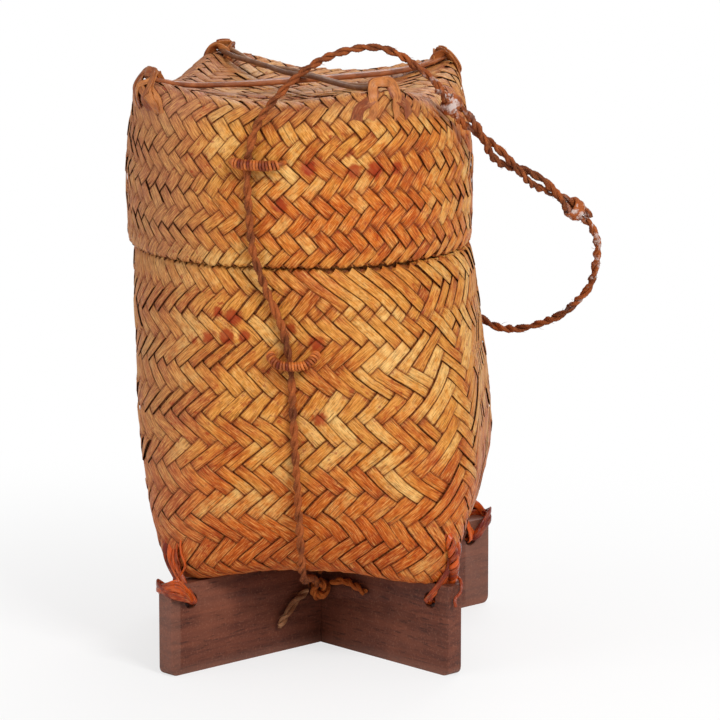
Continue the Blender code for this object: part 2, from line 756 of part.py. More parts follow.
def add_flat_cane(name, points, width, thickness, look):
    """A flat strip of cane along the points, lying flat, with rounded edges."""
    form = bmesh.new()
    rings = []
    sides = 8
    for index, point in enumerate(points):
        before, after = points[max(0, index - 1)], points[min(len(points) - 1, index + 1)]
        way = (after - before).normalized()
        across = way.cross(Vector((0.0, 0.0, 1.0))).normalized()
        up = across.cross(way)
        ring = []
        for k in range(sides):
            turn = WHOLE * (k + 0.5) / sides
            wide = math.copysign(abs(math.cos(turn)) ** 0.5, math.cos(turn))
            thick = math.copysign(abs(math.sin(turn)) ** 0.8, math.sin(turn))
            ring.append(form.verts.new(point + across * wide * width / 2 + up * thick * thickness / 2))
        rings.append(ring)
    for one, two in zip(rings, rings[1:]):
        for k in range(sides):
            n = (k + 1) % sides
            form.faces.new((one[k], one[n], two[n], two[k]))
    form.faces.new(rings[0])
    form.faces.new(rings[-1])
    return finish(add_mesh(name, form), look)


def make_ears():
    """A loop of cane over each raised corner, which ties down the stay's end and goes into the wall."""
    top = LID_RIM_Z + LID_HEIGHT
    turn_row = 2 + LID_STEPS
    face_row = LID.row_at(top - EAR_DROP)
    out = EAR_CANE / 2 + 2 * GAP
    for name in CORNERS:
        angle = CORNERS[name][0]
        thick = name in ("front_left", "back_right")
        stay = THICK_STAY_THICKNESS if thick else THIN_STAY
        wide = THICK_STAY_WIDTH / 2 if thick else (THIN_STAY_SPACING + THIN_STAY) / 2
        crown = top + LID_PEAK + GAP + stay + EAR_SLACK + GAP + EAR_CANE / 2
        reach = STAY_REACH - EAR_INSET
        swing = (wide + EAR_CANE / 2 + 2 * GAP) / reach
        halves = []
        for sign in (1, -1):
            halves.append([
                lid_point(angle + sign * 0.75 * swing, reach, crown - EAR_SLACK),
                lid_point(angle + sign * swing, reach + EAR_LEAN, crown - EAR_SLACK - EAR_CANE / 2),
                LID.place(turn_row, angle + sign * 1.35 * swing, out),
                LID.place(turn_row - 1, angle + sign * 0.62 * EAR_SPREAD, out),
                LID.place(0.5 * (turn_row - 1 + face_row), angle + sign * 0.82 * EAR_SPREAD, out),
                LID.place(face_row, angle + sign * EAR_SPREAD, out),
            ])
        crown_point = lid_point(angle, reach, crown)
        route = [*reversed(halves[0]), crown_point, *halves[1]]
        points = even_points(smooth_route(route, 0.0006), 22)
        add_tube("lid_ear_" + name, points, EAR_CANE, CANE)


# Cord


def twisted(guide, radius, phase, start, end):
    """One of two cords twisted round a guide line: its points between two distances along the guide."""
    fine = even_points(guide, 1201)
    step = (fine[1] - fine[0]).length
    total = 1200 * step
    count = max(2, round((end - start) / (0.7 * CORD_POINT_SPACING)))
    points = []
    for index in range(count + 1):
        mark = start + (end - start) * index / count
        place = min(max(mark / step, 1.0), 1198.0)
        low = int(place)
        centre = fine[low].lerp(fine[low + 1], place - low)
        way = (fine[low + 1] - fine[low - 1]).normalized()
        up = (Vector((0.0, 0.0, 1.0)) - way * way.z).normalized()
        out = way.cross(up)
        ease = min(1.0, mark / SPLICE_RAMP, (total - mark) / SPLICE_RAMP)
        turn = WHOLE * mark / SPLICE_TURN + phase
        points.append(centre + max(0.0, ease) * radius * (math.cos(turn) * up + math.sin(turn) * out))
    return points, total


def make_cords():
    guide = smooth_route(SPLICE_ROUTE, 0.001)
    radius = (CORD + SPLICE_GAP) / 2
    total = sum((b - a).length for a, b in zip(guide, guide[1:]))
    front_end, _ = twisted(guide, radius, 0.0, 0.0, total - SPLICE_RAMP)
    back_start, _ = twisted(guide, radius, math.pi, SPLICE_RAMP, total)
    front = smooth_route(FRONT_ROUTE, CORD_POINT_SPACING)[:-1] + front_end
    back = back_start[:-1] + smooth_route(BACK_ROUTE, CORD_POINT_SPACING)
    add_tube("carry_cord_front", front, CORD, TWINE, resolution=2)
    add_tube("carry_cord_back", back, CORD, TWINE, resolution=2)
    for name, points in (("front", front), ("back", back)):
        length = sum((b - a).length for a, b in zip(points, points[1:]))
        print(f"carry_cord_{name}: {len(points)} points, {1000 * length:.0f} mm")
    fine = even_points(guide, 401)
    for name, distance in (
        ("splice_binding_upper", SPLICE_RAMP + BINDING_LENGTH),
        ("splice_binding_lower", total - SPLICE_RAMP - BINDING_LENGTH),
    ):
        add_binding(name, fine, distance, total)


def add_binding(name, fine, distance, total):
    """A short sleeve of bound thread round the two twisted cords."""
    index = round(distance / total * 400)
    way = (fine[index + 1] - fine[index - 1]).normalized()
    inner = CORD + SPLICE_GAP / 2 + 3 * GAP
    outer = inner + BINDING_WALL
    half = BINDING_LENGTH / 2
    profile = [
        (outer - 0.0004, half), (outer, half - 0.0006), (outer, -half + 0.0006),
        (outer - 0.0004, -half), (inner, -half), (inner, half),
    ]
    form = bmesh.new()
    corners = [form.verts.new((r, 0.0, z)) for r, z in profile]
    for k in range(len(corners)):
        form.edges.new((corners[k], corners[(k + 1) % len(corners)]))
    data = bpy.data.meshes.new(name)
    form.to_mesh(data)
    form.free()
    item = bpy.data.objects.new(name, data)
    bpy.context.scene.collection.objects.link(item)
    turned = item.modifiers.new("turned", "SCREW")
    turned.steps = 16
    turned.render_steps = 16
    turned.use_merge_vertices = True
    turned.merge_threshold = 0.00001
    item.location = fine[index]
    item.rotation_mode = "QUATERNION"
    item.rotation_quaternion = way.to_track_quat("Z", "Y")
    return finish(item, TWINE)


def make_knot():
    bpy.ops.mesh.primitive_uv_sphere_add(segments=16, ring_count=10, radius=1.0)
    knot = bpy.context.object
    knot.name = "cord_knot"
    knot.data.transform(Matrix.Diagonal((1.1 * KNOT_RADIUS, KNOT_RADIUS, 1.15 * KNOT_RADIUS, 1.0)))
    knot.location = KNOT_PLACE
    finish(knot, TWINE)
    for name, route in (("right", RIGHT_TAIL_ROUTE), ("left", LEFT_TAIL_ROUTE)):
        add_tube("cord_tail_" + name, smooth_route(route, 0.004), TAIL, TWINE, resolution=2)


def main():
    clear_scene()
    new_collection("sticky_rice_basket")
    new_collection("cutters")
    make_foot()
    outer = make_baskets()
    make_lashings(outer)
    make_rings()
    make_stays()
    make_ears()
    make_cords()
    make_knot()


main()
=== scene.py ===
"""Dresses a sticky rice basket: plaited walls, cane ties, twisted cord, wooden foot, floor and light."""
import math

import bmesh
import bpy
import numpy as np
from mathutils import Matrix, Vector


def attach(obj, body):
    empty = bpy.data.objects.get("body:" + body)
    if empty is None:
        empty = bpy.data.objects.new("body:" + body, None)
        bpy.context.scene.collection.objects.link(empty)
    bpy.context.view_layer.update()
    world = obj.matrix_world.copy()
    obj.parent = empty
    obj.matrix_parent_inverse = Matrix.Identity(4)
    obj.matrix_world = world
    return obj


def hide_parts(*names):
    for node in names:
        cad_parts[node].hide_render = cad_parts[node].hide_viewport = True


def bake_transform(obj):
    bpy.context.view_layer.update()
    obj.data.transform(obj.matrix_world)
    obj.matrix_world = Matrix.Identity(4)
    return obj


bl_info = {
    "name": "Sticky rice basket",
    "version": (1, 0, 0),
    "blender": (4, 5, 0),
    "location": "View3D > Sidebar > Basket",
    "description": "Makes a plaited sticky rice basket with its lid, foot and carrying cord",
    "category": "Object",
}

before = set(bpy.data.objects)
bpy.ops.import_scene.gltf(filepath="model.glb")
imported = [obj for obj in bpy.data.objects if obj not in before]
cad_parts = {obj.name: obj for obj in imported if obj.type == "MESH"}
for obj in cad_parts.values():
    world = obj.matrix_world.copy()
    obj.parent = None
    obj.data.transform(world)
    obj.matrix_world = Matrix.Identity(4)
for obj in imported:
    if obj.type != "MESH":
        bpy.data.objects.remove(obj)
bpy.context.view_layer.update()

WHOLE = 2.0 * math.pi
QUARTER = 0.5 * math.pi
UP = Vector((0.0, 0.0, 1.0))

# Sizes in metres, most of them as in the solids
GAP = 0.0003
LAYER_GAP = 0.0007
BODY_WALL = 0.0014
LID_WALL = 0.0013
PLANK_HEIGHT = 0.038
PLANK_THICKNESS = 0.0075
PLANK_EASE = 0.0007
BODY_TURN = math.radians(-4.0)
BODY_HEIGHT = 0.1334
BASE_HALF = 0.0590
BASE_ROUNDING = 0.014
BASE_EDGE = 0.006
BASE_LIFT = 0.0046
BASE_CROWN = 0.0008
BELLY_HALF = 0.0708
BELLY_SHARE = 0.50
RIM_RADIUS = 0.0698
DRAW_SHARE = 0.82
BODY_LEAN = 0.085
LEAN_START = 0.045
CORNER_POCKET = 0.0055
POCKET_SHARE = 0.4
NECK_RADIUS = 0.0662
NECK_RISE = 0.032
NECK_BEND = 0.020
NECK_X = -0.0082
LID_TURN = math.radians(-14.0)
LID_X = -0.0086
LID_HEIGHT = 0.065
LID_SHOULDER = 0.028
LID_RIM_RADIUS = 0.0712
LID_BULGE = 0.0720
LID_TOP_HALF = 0.0525
LID_TOP_CORNER = 0.0712
LID_PEAK = 0.0065
LID_DISH = 0.004
RIM_Z = PLANK_HEIGHT + BODY_HEIGHT
LID_RIM_Z = RIM_Z + GAP

# Stays and ears
THICK_STAY_WIDTH = 0.0052
THICK_STAY_THICKNESS = 0.0024
THIN_STAY = 0.0021
THIN_STAY_SPACING = 0.0027
STAY_INSET = 0.0006
STAY_LIFT = 0.0020
THIN_STAY_LIFT = 0.0006
EAR_CANE = 0.0024
EAR_SLACK = 0.0004
EAR_STRAP = 0.0008
EAR_INSET = 0.0018
EAR_SINK = 0.0018
EAR_LEAN = 0.0012
EAR_SPREAD = math.radians(8.5)

# Rings for the cord: a core wound with a thread of cane, at a pitch of WINDING_PITCH thread widths
RING_CANE = 0.0016
RING_WIRE = 0.0010
BODY_RING_SPAN = 0.0185
LID_RING_SPAN = 0.0215
BODY_RING_DROP = 0.0345
BODY_RING_SAG = 0.004
LID_RING_RISE = 0.043
LID_RING_SAG = 0.002
RING_ANGLE_BODY = math.radians(-92.8)
RING_ANGLE_LID = math.radians(-101.0)
BODY_RING_CORE = 0.00085
BODY_RING_THREAD = 0.00116
LID_RING_CORE = 0.00105
LID_RING_THREAD = 0.00120
WINDING_PITCH = 1.04

# Lashings: the way each end of the foot lies and how far it reaches, then the sizes of the cane
CORNERS = {
    "front_left": (math.radians(-135), 0.087),
    "front_right": (math.radians(-45), 0.081),
    "back_right": (math.radians(45), 0.096),
    "back_left": (math.radians(135), 0.085),
}
PLANK_REACH = {"lower": 0.083, "upper": 0.091}
TIE_HOLE_FROM_END = 0.011
TIE_HOLE_BELOW_TOP = 0.0075
TIE_START_HEIGHT = 0.0088
TIE_ENTRY_HEIGHT = 0.0150
TIE_SPACING = 0.0009
TIE_THICKNESS = 0.0009
LOOP_WIDTH = 0.0023
WRAP_WIDTH = 0.0028
TWIST_WIDTH = 0.0026
TWIST_THICKNESS = 0.0013
TWIST_LAY = 0.0105
TWIST_RADIUS = 0.0016
CURL_RADIUS = 0.0007

# The plait: strips cross on a square net of 16 cells to each side of the basket, FLAT_HALF from its
# middle to the edge of the flat part. SHINGLE tips a share SHINGLED of the strips over their neighbour
# and the others the other way, and PLAIT_INSET is the distance from a wall's outer face in to the
# middle of its plait
CELLS = 16
ROW = 0.0035
LID_ROW = 0.0038
FLAT_HALF = 0.05614
STRIP_THICKNESS = 0.00036
STRIP_UNIT = 0.005
SHINGLE = 0.00019
SHINGLED = 0.72
TILT_SPREAD = 0.00020
LOOSE_RISE = 0.00040
PLAIT_DEPTH = 0.00044
PLAIT_INSET = 0.0006
SPOT_RADIUS = 0.0735

# Cord: its sizes, then its routes as in the solids
CORD = 0.0034
BINDING_LENGTH = 0.008
SPLICE_TURN = 0.050
SPLICE_GAP = 0.0007
SPLICE_RAMP = 0.012
SPLICE_THREAD = 0.00124
CORD_SPACING = 0.003
CORD_HAIRS = 90
TAIL = 0.0032
TAIL_LAY = 0.012
TAIL_HAIRS = 12
KNOT_CORD = 0.0029
KNOT_LAY = 0.011
KNOT_HAIRS = 6
FINE_SPACING = 0.0007
FRONT_ROUTE = [
    (-0.0006, -0.0182, 0.0285), (-0.0018, -0.0300, 0.0335), (-0.0032, -0.0450, 0.0375),
    (-0.0042, -0.0560, 0.0392), (-0.0047, -0.0620, 0.0420), (-0.0052, -0.0657, 0.0500),
    (-0.0060, -0.0704, 0.0680), (-0.0070, -0.0724, 0.0900), (-0.0082, -0.0727, 0.1120),
    (-0.0092, -0.0727, 0.1320), (-0.0125, -0.0730, 0.1480), (-0.0190, -0.0734, 0.1640),
    (-0.0240, -0.0733, 0.1790), (-0.0256, -0.0724, 0.1950), (-0.0262, -0.0720, 0.2050),
    (-0.0262, -0.0707, 0.2130), (-0.0248, -0.0681, 0.2225), (-0.0208, -0.0645, 0.2322),
    (-0.0138, -0.0590, 0.2408), (-0.0059, -0.0535, 0.2480), (0.0040, -0.0490, 0.2540),
    (0.0139, -0.0460, 0.2571), (0.0259, -0.0425, 0.2576), (0.0341, -0.0395, 0.2540),
    (0.0421, -0.0365, 0.2480),
]
SPLICE_ROUTE = [
    (0.0421, -0.0365, 0.2480), (0.0483, -0.0345, 0.2410), (0.0548, -0.0315, 0.2330),
    (0.0648, -0.0255, 0.2215), (0.0750, -0.0180, 0.2090), (0.0833, -0.0110, 0.2022),
    (0.0916, -0.0040, 0.1962), (0.1020, 0.0040, 0.1872), (0.1124, 0.0130, 0.1776),
    (0.1150, 0.0175, 0.1705),
]
BACK_ROUTE = [
    (0.1150, 0.0175, 0.1705), (0.1158, 0.0230, 0.1640), (0.1130, 0.0320, 0.1473),
    (0.1068, 0.0370, 0.1386), (0.1006, 0.0420, 0.1324), (0.0912, 0.0470, 0.1275),
    (0.0814, 0.0510, 0.1245), (0.0728, 0.0560, 0.1248), (0.0650, 0.0610, 0.1290),
    (0.0520, 0.0690, 0.1440), (0.0410, 0.0745, 0.1640), (0.0340, 0.0775, 0.1880),
    (0.0285, 0.0785, 0.2080), (0.0225, 0.0775, 0.2220), (0.0160, 0.0752, 0.2275),
    (0.0115, 0.0718, 0.2243), (0.0093, 0.0706, 0.2185), (0.0078, 0.0710, 0.2130),
    (0.0072, 0.0722, 0.2050), (0.0063, 0.0732, 0.1930), (0.0036, 0.0742, 0.1720),
    (0.0010, 0.0733, 0.1520),
    (-0.0006, 0.0728, 0.1320), (0.0000, 0.0729, 0.1120), (0.0010, 0.0726, 0.0900),
    (0.0018, 0.0704, 0.0680), (0.0020, 0.0657, 0.0500), (0.0020, 0.0622, 0.0420),
    (0.0018, 0.0560, 0.0394), (0.0012, 0.0400, 0.0398), (0.0006, 0.0200, 0.0403),
    (0.0002, 0.0000, 0.0404), (0.0001, -0.0075, 0.0402), (0.0001, -0.0110, 0.0378),
    (0.0001, -0.0128, 0.0340), (0.0001, -0.0131, 0.0318),
]
KNOT_PLACE = (0.0, -0.0132, 0.0262)
RIGHT_TAIL_ROUTE = [
    (0.0055, -0.0150, 0.0285), (0.0100, -0.0186, 0.0300), (0.0150, -0.0234, 0.0292),
    (0.0195, -0.0276, 0.0272),
]
LEFT_TAIL_ROUTE = [
    (-0.0052, -0.0148, 0.0245), (-0.0085, -0.0178, 0.0225), (-0.0125, -0.0215, 0.0175),
    (-0.0165, -0.0252, 0.0115),
]

# Camera: its sensor in millimetres, its picture's width and focal length in pixels, its place and aim
SENSOR_WIDTH = 36.0
PICTURE_WIDTH = 720.0
FOCAL_LENGTH = 4454.0
VIEW_DISTANCE = 1.831
VIEW_HEIGHT = 0.484
VIEW_ANGLE = 0.042
VIEW_PITCH = 0.196
VIEW_YAW = 0.009


# Curves and small helpers


def deselect():
    bpy.ops.object.select_all(action="DESELECT")


def smooth_route(route, spacing):
    """Points along a centripetal smooth curve through the route's points."""
    route = [Vector(point) for point in route]
    first = 2 * route[0] - route[1]
    last = 2 * route[-1] - route[-2]
    knots = [first, *route, last]
    fine = []
    for p0, p1, p2, p3 in zip(knots, knots[1:], knots[2:], knots[3:]):
        t1 = (p1 - p0).length ** 0.5
        t2 = t1 + (p2 - p1).length ** 0.5
        t3 = t2 + (p3 - p2).length ** 0.5
        for step in range(16):
            t = t1 + (t2 - t1) * step / 16
            a1 = p0.lerp(p1, t / t1)
            a2 = p1.lerp(p2, (t - t1) / (t2 - t1))
            a3 = p2.lerp(p3, (t - t2) / (t3 - t2))
            b1 = a1.lerp(a2, t / t2)
            b2 = a2.lerp(a3, (t - t1) / (t3 - t1))
            fine.append(b1.lerp(b2, (t - t1) / (t2 - t1)))
    fine.append(route[-1])
    length = sum((b - a).length for a, b in zip(fine, fine[1:]))
    return even_points(fine, max(2, round(length / spacing) + 1))


def even_points(points, count):
    """The same line, with this many points at equal distances along it."""
    line = np.array([tuple(p) for p in points])
    steps = np.linalg.norm(np.diff(line, axis=0), axis=1)
    marks = np.concatenate([[0.0], np.cumsum(steps)])
    wanted = np.linspace(0.0, marks[-1], count)
    columns = [np.interp(wanted, marks, line[:, axis]) for axis in range(3)]
    return [Vector(point) for point in np.stack(columns, axis=1)]


def route_length(points):
    return sum((b - a).length for a, b in zip(points, points[1:]))


def frames(points, ups=None):
    """A frame at each point of a line: its way and two directions across it, steady or by given ups."""
    ways = [
        (after - before).normalized()
        for before, after in zip([points[0], *points[:-1]], [*points[1:], points[-1]])
    ]
    if ups is not None:
        sides = [way.cross(up).normalized() for way, up in zip(ways, ups)]
        return [(way, side, side.cross(way)) for way, side in zip(ways, sides)]
    side = ways[0].cross(UP)
    if side.length < 0.2:
        side = ways[0].cross(Vector((1.0, 0.0, 0.0)))
    held = []
    for way in ways:
        side = (side - way * side.dot(way)).normalized()
        held.append((way, side, way.cross(side)))
    return held


def upright(fine, place):
    """The point at a place on a fine line, counted in its points, and the ways up and out across it."""
    low = int(place)
    way = (fine[low + 1] - fine[low - 1]).normalized()
    up = (UP - way * way.z).normalized()
    return fine[low].lerp(fine[low + 1], place - low), up, way.cross(up)


def corner_ways(angle):
    """The ways along and across the plank that lies at an angle."""
    along = Vector((math.cos(angle), math.sin(angle), 0.0))
    return along, UP.cross(along)


def new_object(name, points, faces, uvs, tone, smooth):
    """A mesh object, with a UV and a tone (three numbers) for each of its points, its faces turned out."""
    data = bpy.data.meshes.new(name)
    data.from_pydata([tuple(p) for p in points], [], [tuple(f) for f in faces])
    layer = data.uv_layers.new(name="plait")
    loops = np.empty(len(data.loops), dtype=np.int64)
    data.loops.foreach_get("vertex_index", loops)
    layer.data.foreach_set("uv", np.asarray(uvs, dtype=np.float32)[loops].ravel())
    values = np.ones((len(points), 4), dtype=np.float32)
    values[:, :3] = tone
    data.attributes.new("tone", "FLOAT_COLOR", "POINT").data.foreach_set("color", values.ravel())
    data.validate()
    item = bpy.data.objects.new(name, data)
    bpy.context.scene.collection.objects.link(item)
    data.shade_smooth()
    data.set_sharp_from_angle(angle=math.radians(smooth))
    form = bmesh.new()
    form.from_mesh(data)
    bmesh.ops.recalc_face_normals(form, faces=form.faces)
    form.to_mesh(data)
    form.free()
    return item


def dress(item, look, body, slot, *nodes):
    """Give a finished piece its look and its body, and hide the solids that it stands for; its slot is not
    used.
    """
    item.data.materials.clear()
    item.data.materials.append(look)
    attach(item, body)
    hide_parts(*nodes)
    return item


# Looks


def srgb(red, green, blue):
    """A colour as it is seen, 0 to 255, as linear light."""
    out = []
    for value in (red, green, blue):
        share = value / 255.0
        out.append(share / 12.92 if share <= 0.04045 else ((share + 0.055) / 1.055) ** 2.4)
    return (*out, 1.0)


class Signal:
    """A socket of a shader tree that takes part in written sums."""

    def __init__(self, look, socket):
        self.look = look
        self.socket = socket

    def _sum(self, operation, *values, clamp=False):
        settings = {"operation": operation, "use_clamp": clamp}
        return self.look.node("ShaderNodeMath", settings, dict(enumerate(values)))

    def __add__(self, other):
        return self._sum("ADD", self, other)

    def __sub__(self, other):
        return self._sum("SUBTRACT", self, other)

    def __rsub__(self, other):
        return self._sum("SUBTRACT", other, self)

    def __mul__(self, other):
        return self._sum("MULTIPLY", self, other)

    __radd__, __rmul__ = __add__, __mul__

    def __truediv__(self, other):
        return self._sum("DIVIDE", self, other)

    def size(self):
        return self._sum("ABSOLUTE", self)

    def fraction(self):
        return self._sum("FRACT", self)

    def most(self, other):
        return self._sum("MAXIMUM", self, other)

    def clamped(self):
        return self._sum("ADD", self, 0.0, clamp=True)

    def between(self, low, high):
        """0 at or below low and 1 at or above high, eased."""
        settings = {"interpolation_type": "SMOOTHSTEP"}
        return self.look.node(
            "ShaderNodeMapRange", settings, {"Value": self, "From Min": low, "From Max": high}
        )


class Tree:
    """The shader tree of a material or the world, and the one way its nodes are made."""

    def __init__(self, owner):
        owner.use_nodes = True
        self.tree = owner.node_tree

    def node(self, kind, settings=None, values=None, out=0):
        made = self.tree.nodes.new(kind)
        for key, value in (settings or {}).items():
            setattr(made, key, value)
        for key, value in (values or {}).items():
            self.put(made.inputs[key], value)
        return Signal(self, made.outputs[out])

    def put(self, socket, value):
        if isinstance(value, Signal):
            self.tree.links.new(value.socket, socket)
        else:
            socket.default_value = value


class Look(Tree):
    """A material's tree, with the textures and finishes that the looks are made of."""

    def __init__(self, name, roughness, specular):
        self.material = bpy.data.materials.new(name)
        super().__init__(self.material)
        self.shader = self.tree.nodes["Principled BSDF"]
        self.put(self.shader.inputs["Roughness"], roughness)
        self.put(self.shader.inputs["Specular IOR Level"], specular)

    def mapping(self, where, **values):
        return self.node("ShaderNodeMapping", None, {"Vector": where, **values})

    def place(self, turn=0.0):
        where = self.node("ShaderNodeTexCoord", out="Object")
        return self.mapping(where, Rotation=(0.0, 0.0, turn))

    def uv(self, across=1.0, along=1.0):
        where = self.node("ShaderNodeUVMap", {"uv_map": "plait"})
        return self.mapping(where, Scale=(across, along, 1.0))

    def axis(self, vector, name):
        return self.node("ShaderNodeSeparateXYZ", None, {"Vector": vector}, out=name)

    def tone(self, name):
        seen = self.node("ShaderNodeAttribute", {"attribute_name": "tone"}, out="Color")
        return self.node("ShaderNodeSeparateColor", None, {"Color": seen}, out=name)

    def noise(self, where, scale, detail, roughness, distortion=0.0):
        return self.node("ShaderNodeTexNoise", None, {
            "Vector": where, "Scale": scale, "Detail": detail, "Roughness": roughness,
            "Distortion": distortion,
        })

    def mix(self, factor, first, second):
        settings = {"data_type": "RGBA", "clamp_factor": True}
        return self.node("ShaderNodeMix", settings, {0: factor, 6: first, 7: second}, out=2)

    def colour(self, value):
        self.put(self.shader.inputs["Base Color"], value)

    def rough(self, value):
        self.put(self.shader.inputs["Roughness"], value)

    def bump(self, height, strength, distance):
        made = self.node("ShaderNodeBump", None, {
            "Height": height, "Strength": strength, "Distance": distance,
        })
        self.put(self.shader.inputs["Normal"], made)


def strip_look(name, warmth_at, greyness_and_shade_at, stains=(), dull=0.0):
    """Split strips of cane: fibres along each strip, stains, warm patches, grey patches that are partly
    painted shade, pale patches that are partly painted highlights, and painted shade in the dips and along
    the strip edges.
    """
    tints = colours()
    pale, warm, ruddy, grey, stain = (
        tuple(getattr(tints, tint)) for tint in ("straw", "amber", "russet", "ash", "stain")
    )
    look = Look(name, 0.55, 0.16)
    where = look.place()
    x, _, z = (look.axis(where, axis) for axis in "XYZ")
    strip, float_, dip = (look.tone(channel) for channel in ("Red", "Green", "Blue"))
    dark = srgb(66, 26, 9)
    cloud = look.noise(where, 26.0, 3.0, 0.55)
    fibre = look.noise(look.uv(5.0, 0.55), 1.6, 4.0, 0.68)
    streak = look.noise(look.uv(17.0, 0.9), 1.0, 3.0, 0.6)
    blotch = look.noise(look.uv(1.3, 0.42), 1.3, 3.0, 0.62)
    patch = look.noise(look.uv(0.9, 0.75), 2.3, 2.0, 0.55)
    speck = look.noise(where, 900.0, 2.0, 0.6)
    mist = look.noise(where, 70.0, 3.0, 0.6)
    warmth = warmth_at(x, z, cloud) + (float_ - 0.5) * 0.40 + (blotch - 0.5) * 1.6
    warmth = warmth + (mist - 0.5) * 1.8
    colour = look.mix(warmth.clamped(), pale, warm)
    # Paler floats and patches; the pale colour also stands in for painted highlights
    light = (0.36 - float_) * 1.1 + (patch - 0.5) * 1.9 - (cloud - 0.5) * 1.2 - (mist - 0.5) * 1.7
    colour = look.mix((light * (1.25 - warmth.clamped() * 0.75)).clamped(), colour, srgb(238, 188, 112))
    # Ruddy patches from noise, made stronger where the dip tone is high, so in the dips they are partly
    # painted shade
    rust_and_dip_shade = (blotch - 0.5) * 2.0 + (float_ - 0.66) * 0.7 + (cloud - 0.5) * 1.6 + dip * patch * 4.0
    rust_and_dip_shade = rust_and_dip_shade + (mist - 0.46) * 2.4
    colour = look.mix((rust_and_dip_shade * 1.1).clamped() * 0.8, colour, ruddy)
    deep = look.noise(look.uv(1.6, 0.9), 1.7, 3.0, 0.6)
    colour = look.mix(((deep - 0.52) * 2.4).clamped() * 0.7, colour, srgb(112, 50, 16))
    # Grey patches, partly painted shade on the left side
    greyness_and_shade = greyness_and_shade_at(x, z, cloud)
    colour = look.mix(greyness_and_shade, colour, grey)
    marks = patch.between(0.57, 0.70) * look.noise(where, 34.0, 1.0, 0.5).between(0.47, 0.58) * 0.8
    for spot, reach in stains:
        offset = look.node(
            "ShaderNodeVectorMath", {"operation": "DISTANCE"}, {0: where, 1: spot}, out="Value"
        )
        near = (offset + (patch - 0.5) * reach * 0.9) / (reach * 1.12)
        marks = marks.most((1.0 - near).between(0.0, 0.50))
    soaked = (1.0 - z.between(0.050, 0.094)) * ((mist - 0.5) * 2.6 + 0.62).clamped()
    colour = look.mix(soaked * 0.62, colour, srgb(168, 66, 3))
    lines = (fibre - 0.5) * 2.0 + (streak - 0.5) * 2.4
    colour = look.mix((lines * 1.05).clamped(), colour, dark)
    # The pale side of the fibre streaks, which also stands in for painted highlights
    colour = look.mix((lines * -1.0).clamped(), colour, srgb(240, 186, 106))
    colour = look.mix(marks * 0.82, colour, stain)
    colour = look.mix(speck.between(0.60, 0.75) * 0.30, colour, dark)
    # Painted shade: each strip is darkened along both its edges, where the gaps between strips lie in
    # shade
    across = (look.axis(look.uv(), "X") + 0.5).fraction() - 0.5
    ragged = (fibre - 0.5) * 0.10 + (patch - 0.5) * 0.10
    edge = (across.size() + ragged * 0.7).between(0.435, 0.495)
    colour = look.mix(edge * 0.36, colour, dark)
    crack = ((across - (strip - 0.5) * 0.9).size() + (fibre - 0.5) * 0.05).between(0.0, 0.030)
    split = (1.0 - crack) * look.noise(look.uv(0.02, 0.30), 2.0, 1.0, 0.5).between(0.52, 0.58)
    colour = look.mix(split * 0.75, colour, dark)
    # Painted shade: darker where a strip dives under a crossing strip, along its edges and on its
    # underside, as the dip tone gives
    colour = look.mix((dip * 0.62).clamped(), colour, srgb(66, 24, 8))
    if dull:
        colour = look.mix(dull, colour, grey)
    look.colour(colour)
    look.rough((0.44 + (fibre - 0.5) * 0.40 + greyness_and_shade * 0.15 + dip * 0.2).clamped())
    look.bump(fibre * 0.7 + streak * 0.6 - split * 0.8 - edge * 0.5, strength=0.9, distance=0.00026)
    return look.material


def wood_look(name, turn, reach):
    """Old dark wood, its grain along the plank, paler on its sawn ends and worn edges."""
    look = Look(name, 0.62, 0.35)
    where = look.place(turn)
    raw = look.place()
    grain = look.noise(look.mapping(where, Scale=(16.0, 70.0, 240.0)), 1.0, 5.0, 0.68, 0.7)
    dashes = look.noise(look.mapping(where, Scale=(150.0, 700.0, 1300.0)), 1.0, 2.0, 0.5)
    cloud = look.noise(raw, 34.0, 3.0, 0.6)
    grit = look.noise(raw, 1100.0, 2.0, 0.6)
    height = look.axis(raw, "Z")
    colour = look.mix(grain.between(0.28, 0.72), srgb(72, 32, 20), srgb(114, 60, 41))
    colour = look.mix(cloud.between(0.46, 0.72) * 0.40, colour, srgb(138, 80, 57))
    colour = look.mix(dashes.between(0.57, 0.70) * 0.55, colour, srgb(38, 16, 10))
    colour = look.mix(grit.between(0.52, 0.70) * 0.28, colour, srgb(158, 104, 80))
    worn = (1.0 - height.between(0.0, 0.005)) * 0.30
    sawn = look.axis(where, "X").size().between(reach - 0.0016, reach - 0.0006) * 0.22
    colour = look.mix(worn.most(sawn), colour, srgb(158, 114, 96))
    look.colour(colour)
    look.rough((0.55 + (grain - 0.5) * 0.3).clamped())
    look.bump(grain * 0.7 + dashes * 0.4 + grit * 0.3, strength=0.55, distance=0.0004)
    return look.material


def cane_look(name, light, deep, dark, gloss=0.42):
    """Split cane or rattan: long fibres, each piece or turn in its own tone, darker in its dips."""
    look = Look(name, gloss, 0.30)
    fibre = look.noise(look.uv(6.0, 0.7), 1.6, 3.0, 0.6)
    fine = look.noise(look.uv(22.0, 1.0), 1.0, 2.0, 0.5)
    patch = look.noise(look.place(), 170.0, 2.0, 0.5)
    strip = look.tone("Red")
    dip = look.tone("Blue")
    colour = look.mix(((patch - 0.5) * 2.2 + 0.5 + (strip - 0.5) * 1.1).clamped(), light, deep)
    colour = look.mix(((fibre - 0.5) * 3.0).clamped(), colour, dark)
    # Painted highlights: thin pale streaks along the cane
    colour = look.mix(((0.47 - fine) * 2.6).clamped() * 0.5, colour, srgb(236, 176, 112))
    colour = look.mix((dip * 0.9).clamped(), colour, dark)
    look.colour(colour)
    look.rough((gloss + (fibre - 0.5) * 0.3).clamped())
    look.bump(fibre + fine * 0.6, strength=0.6, distance=0.0002)
    return look.material


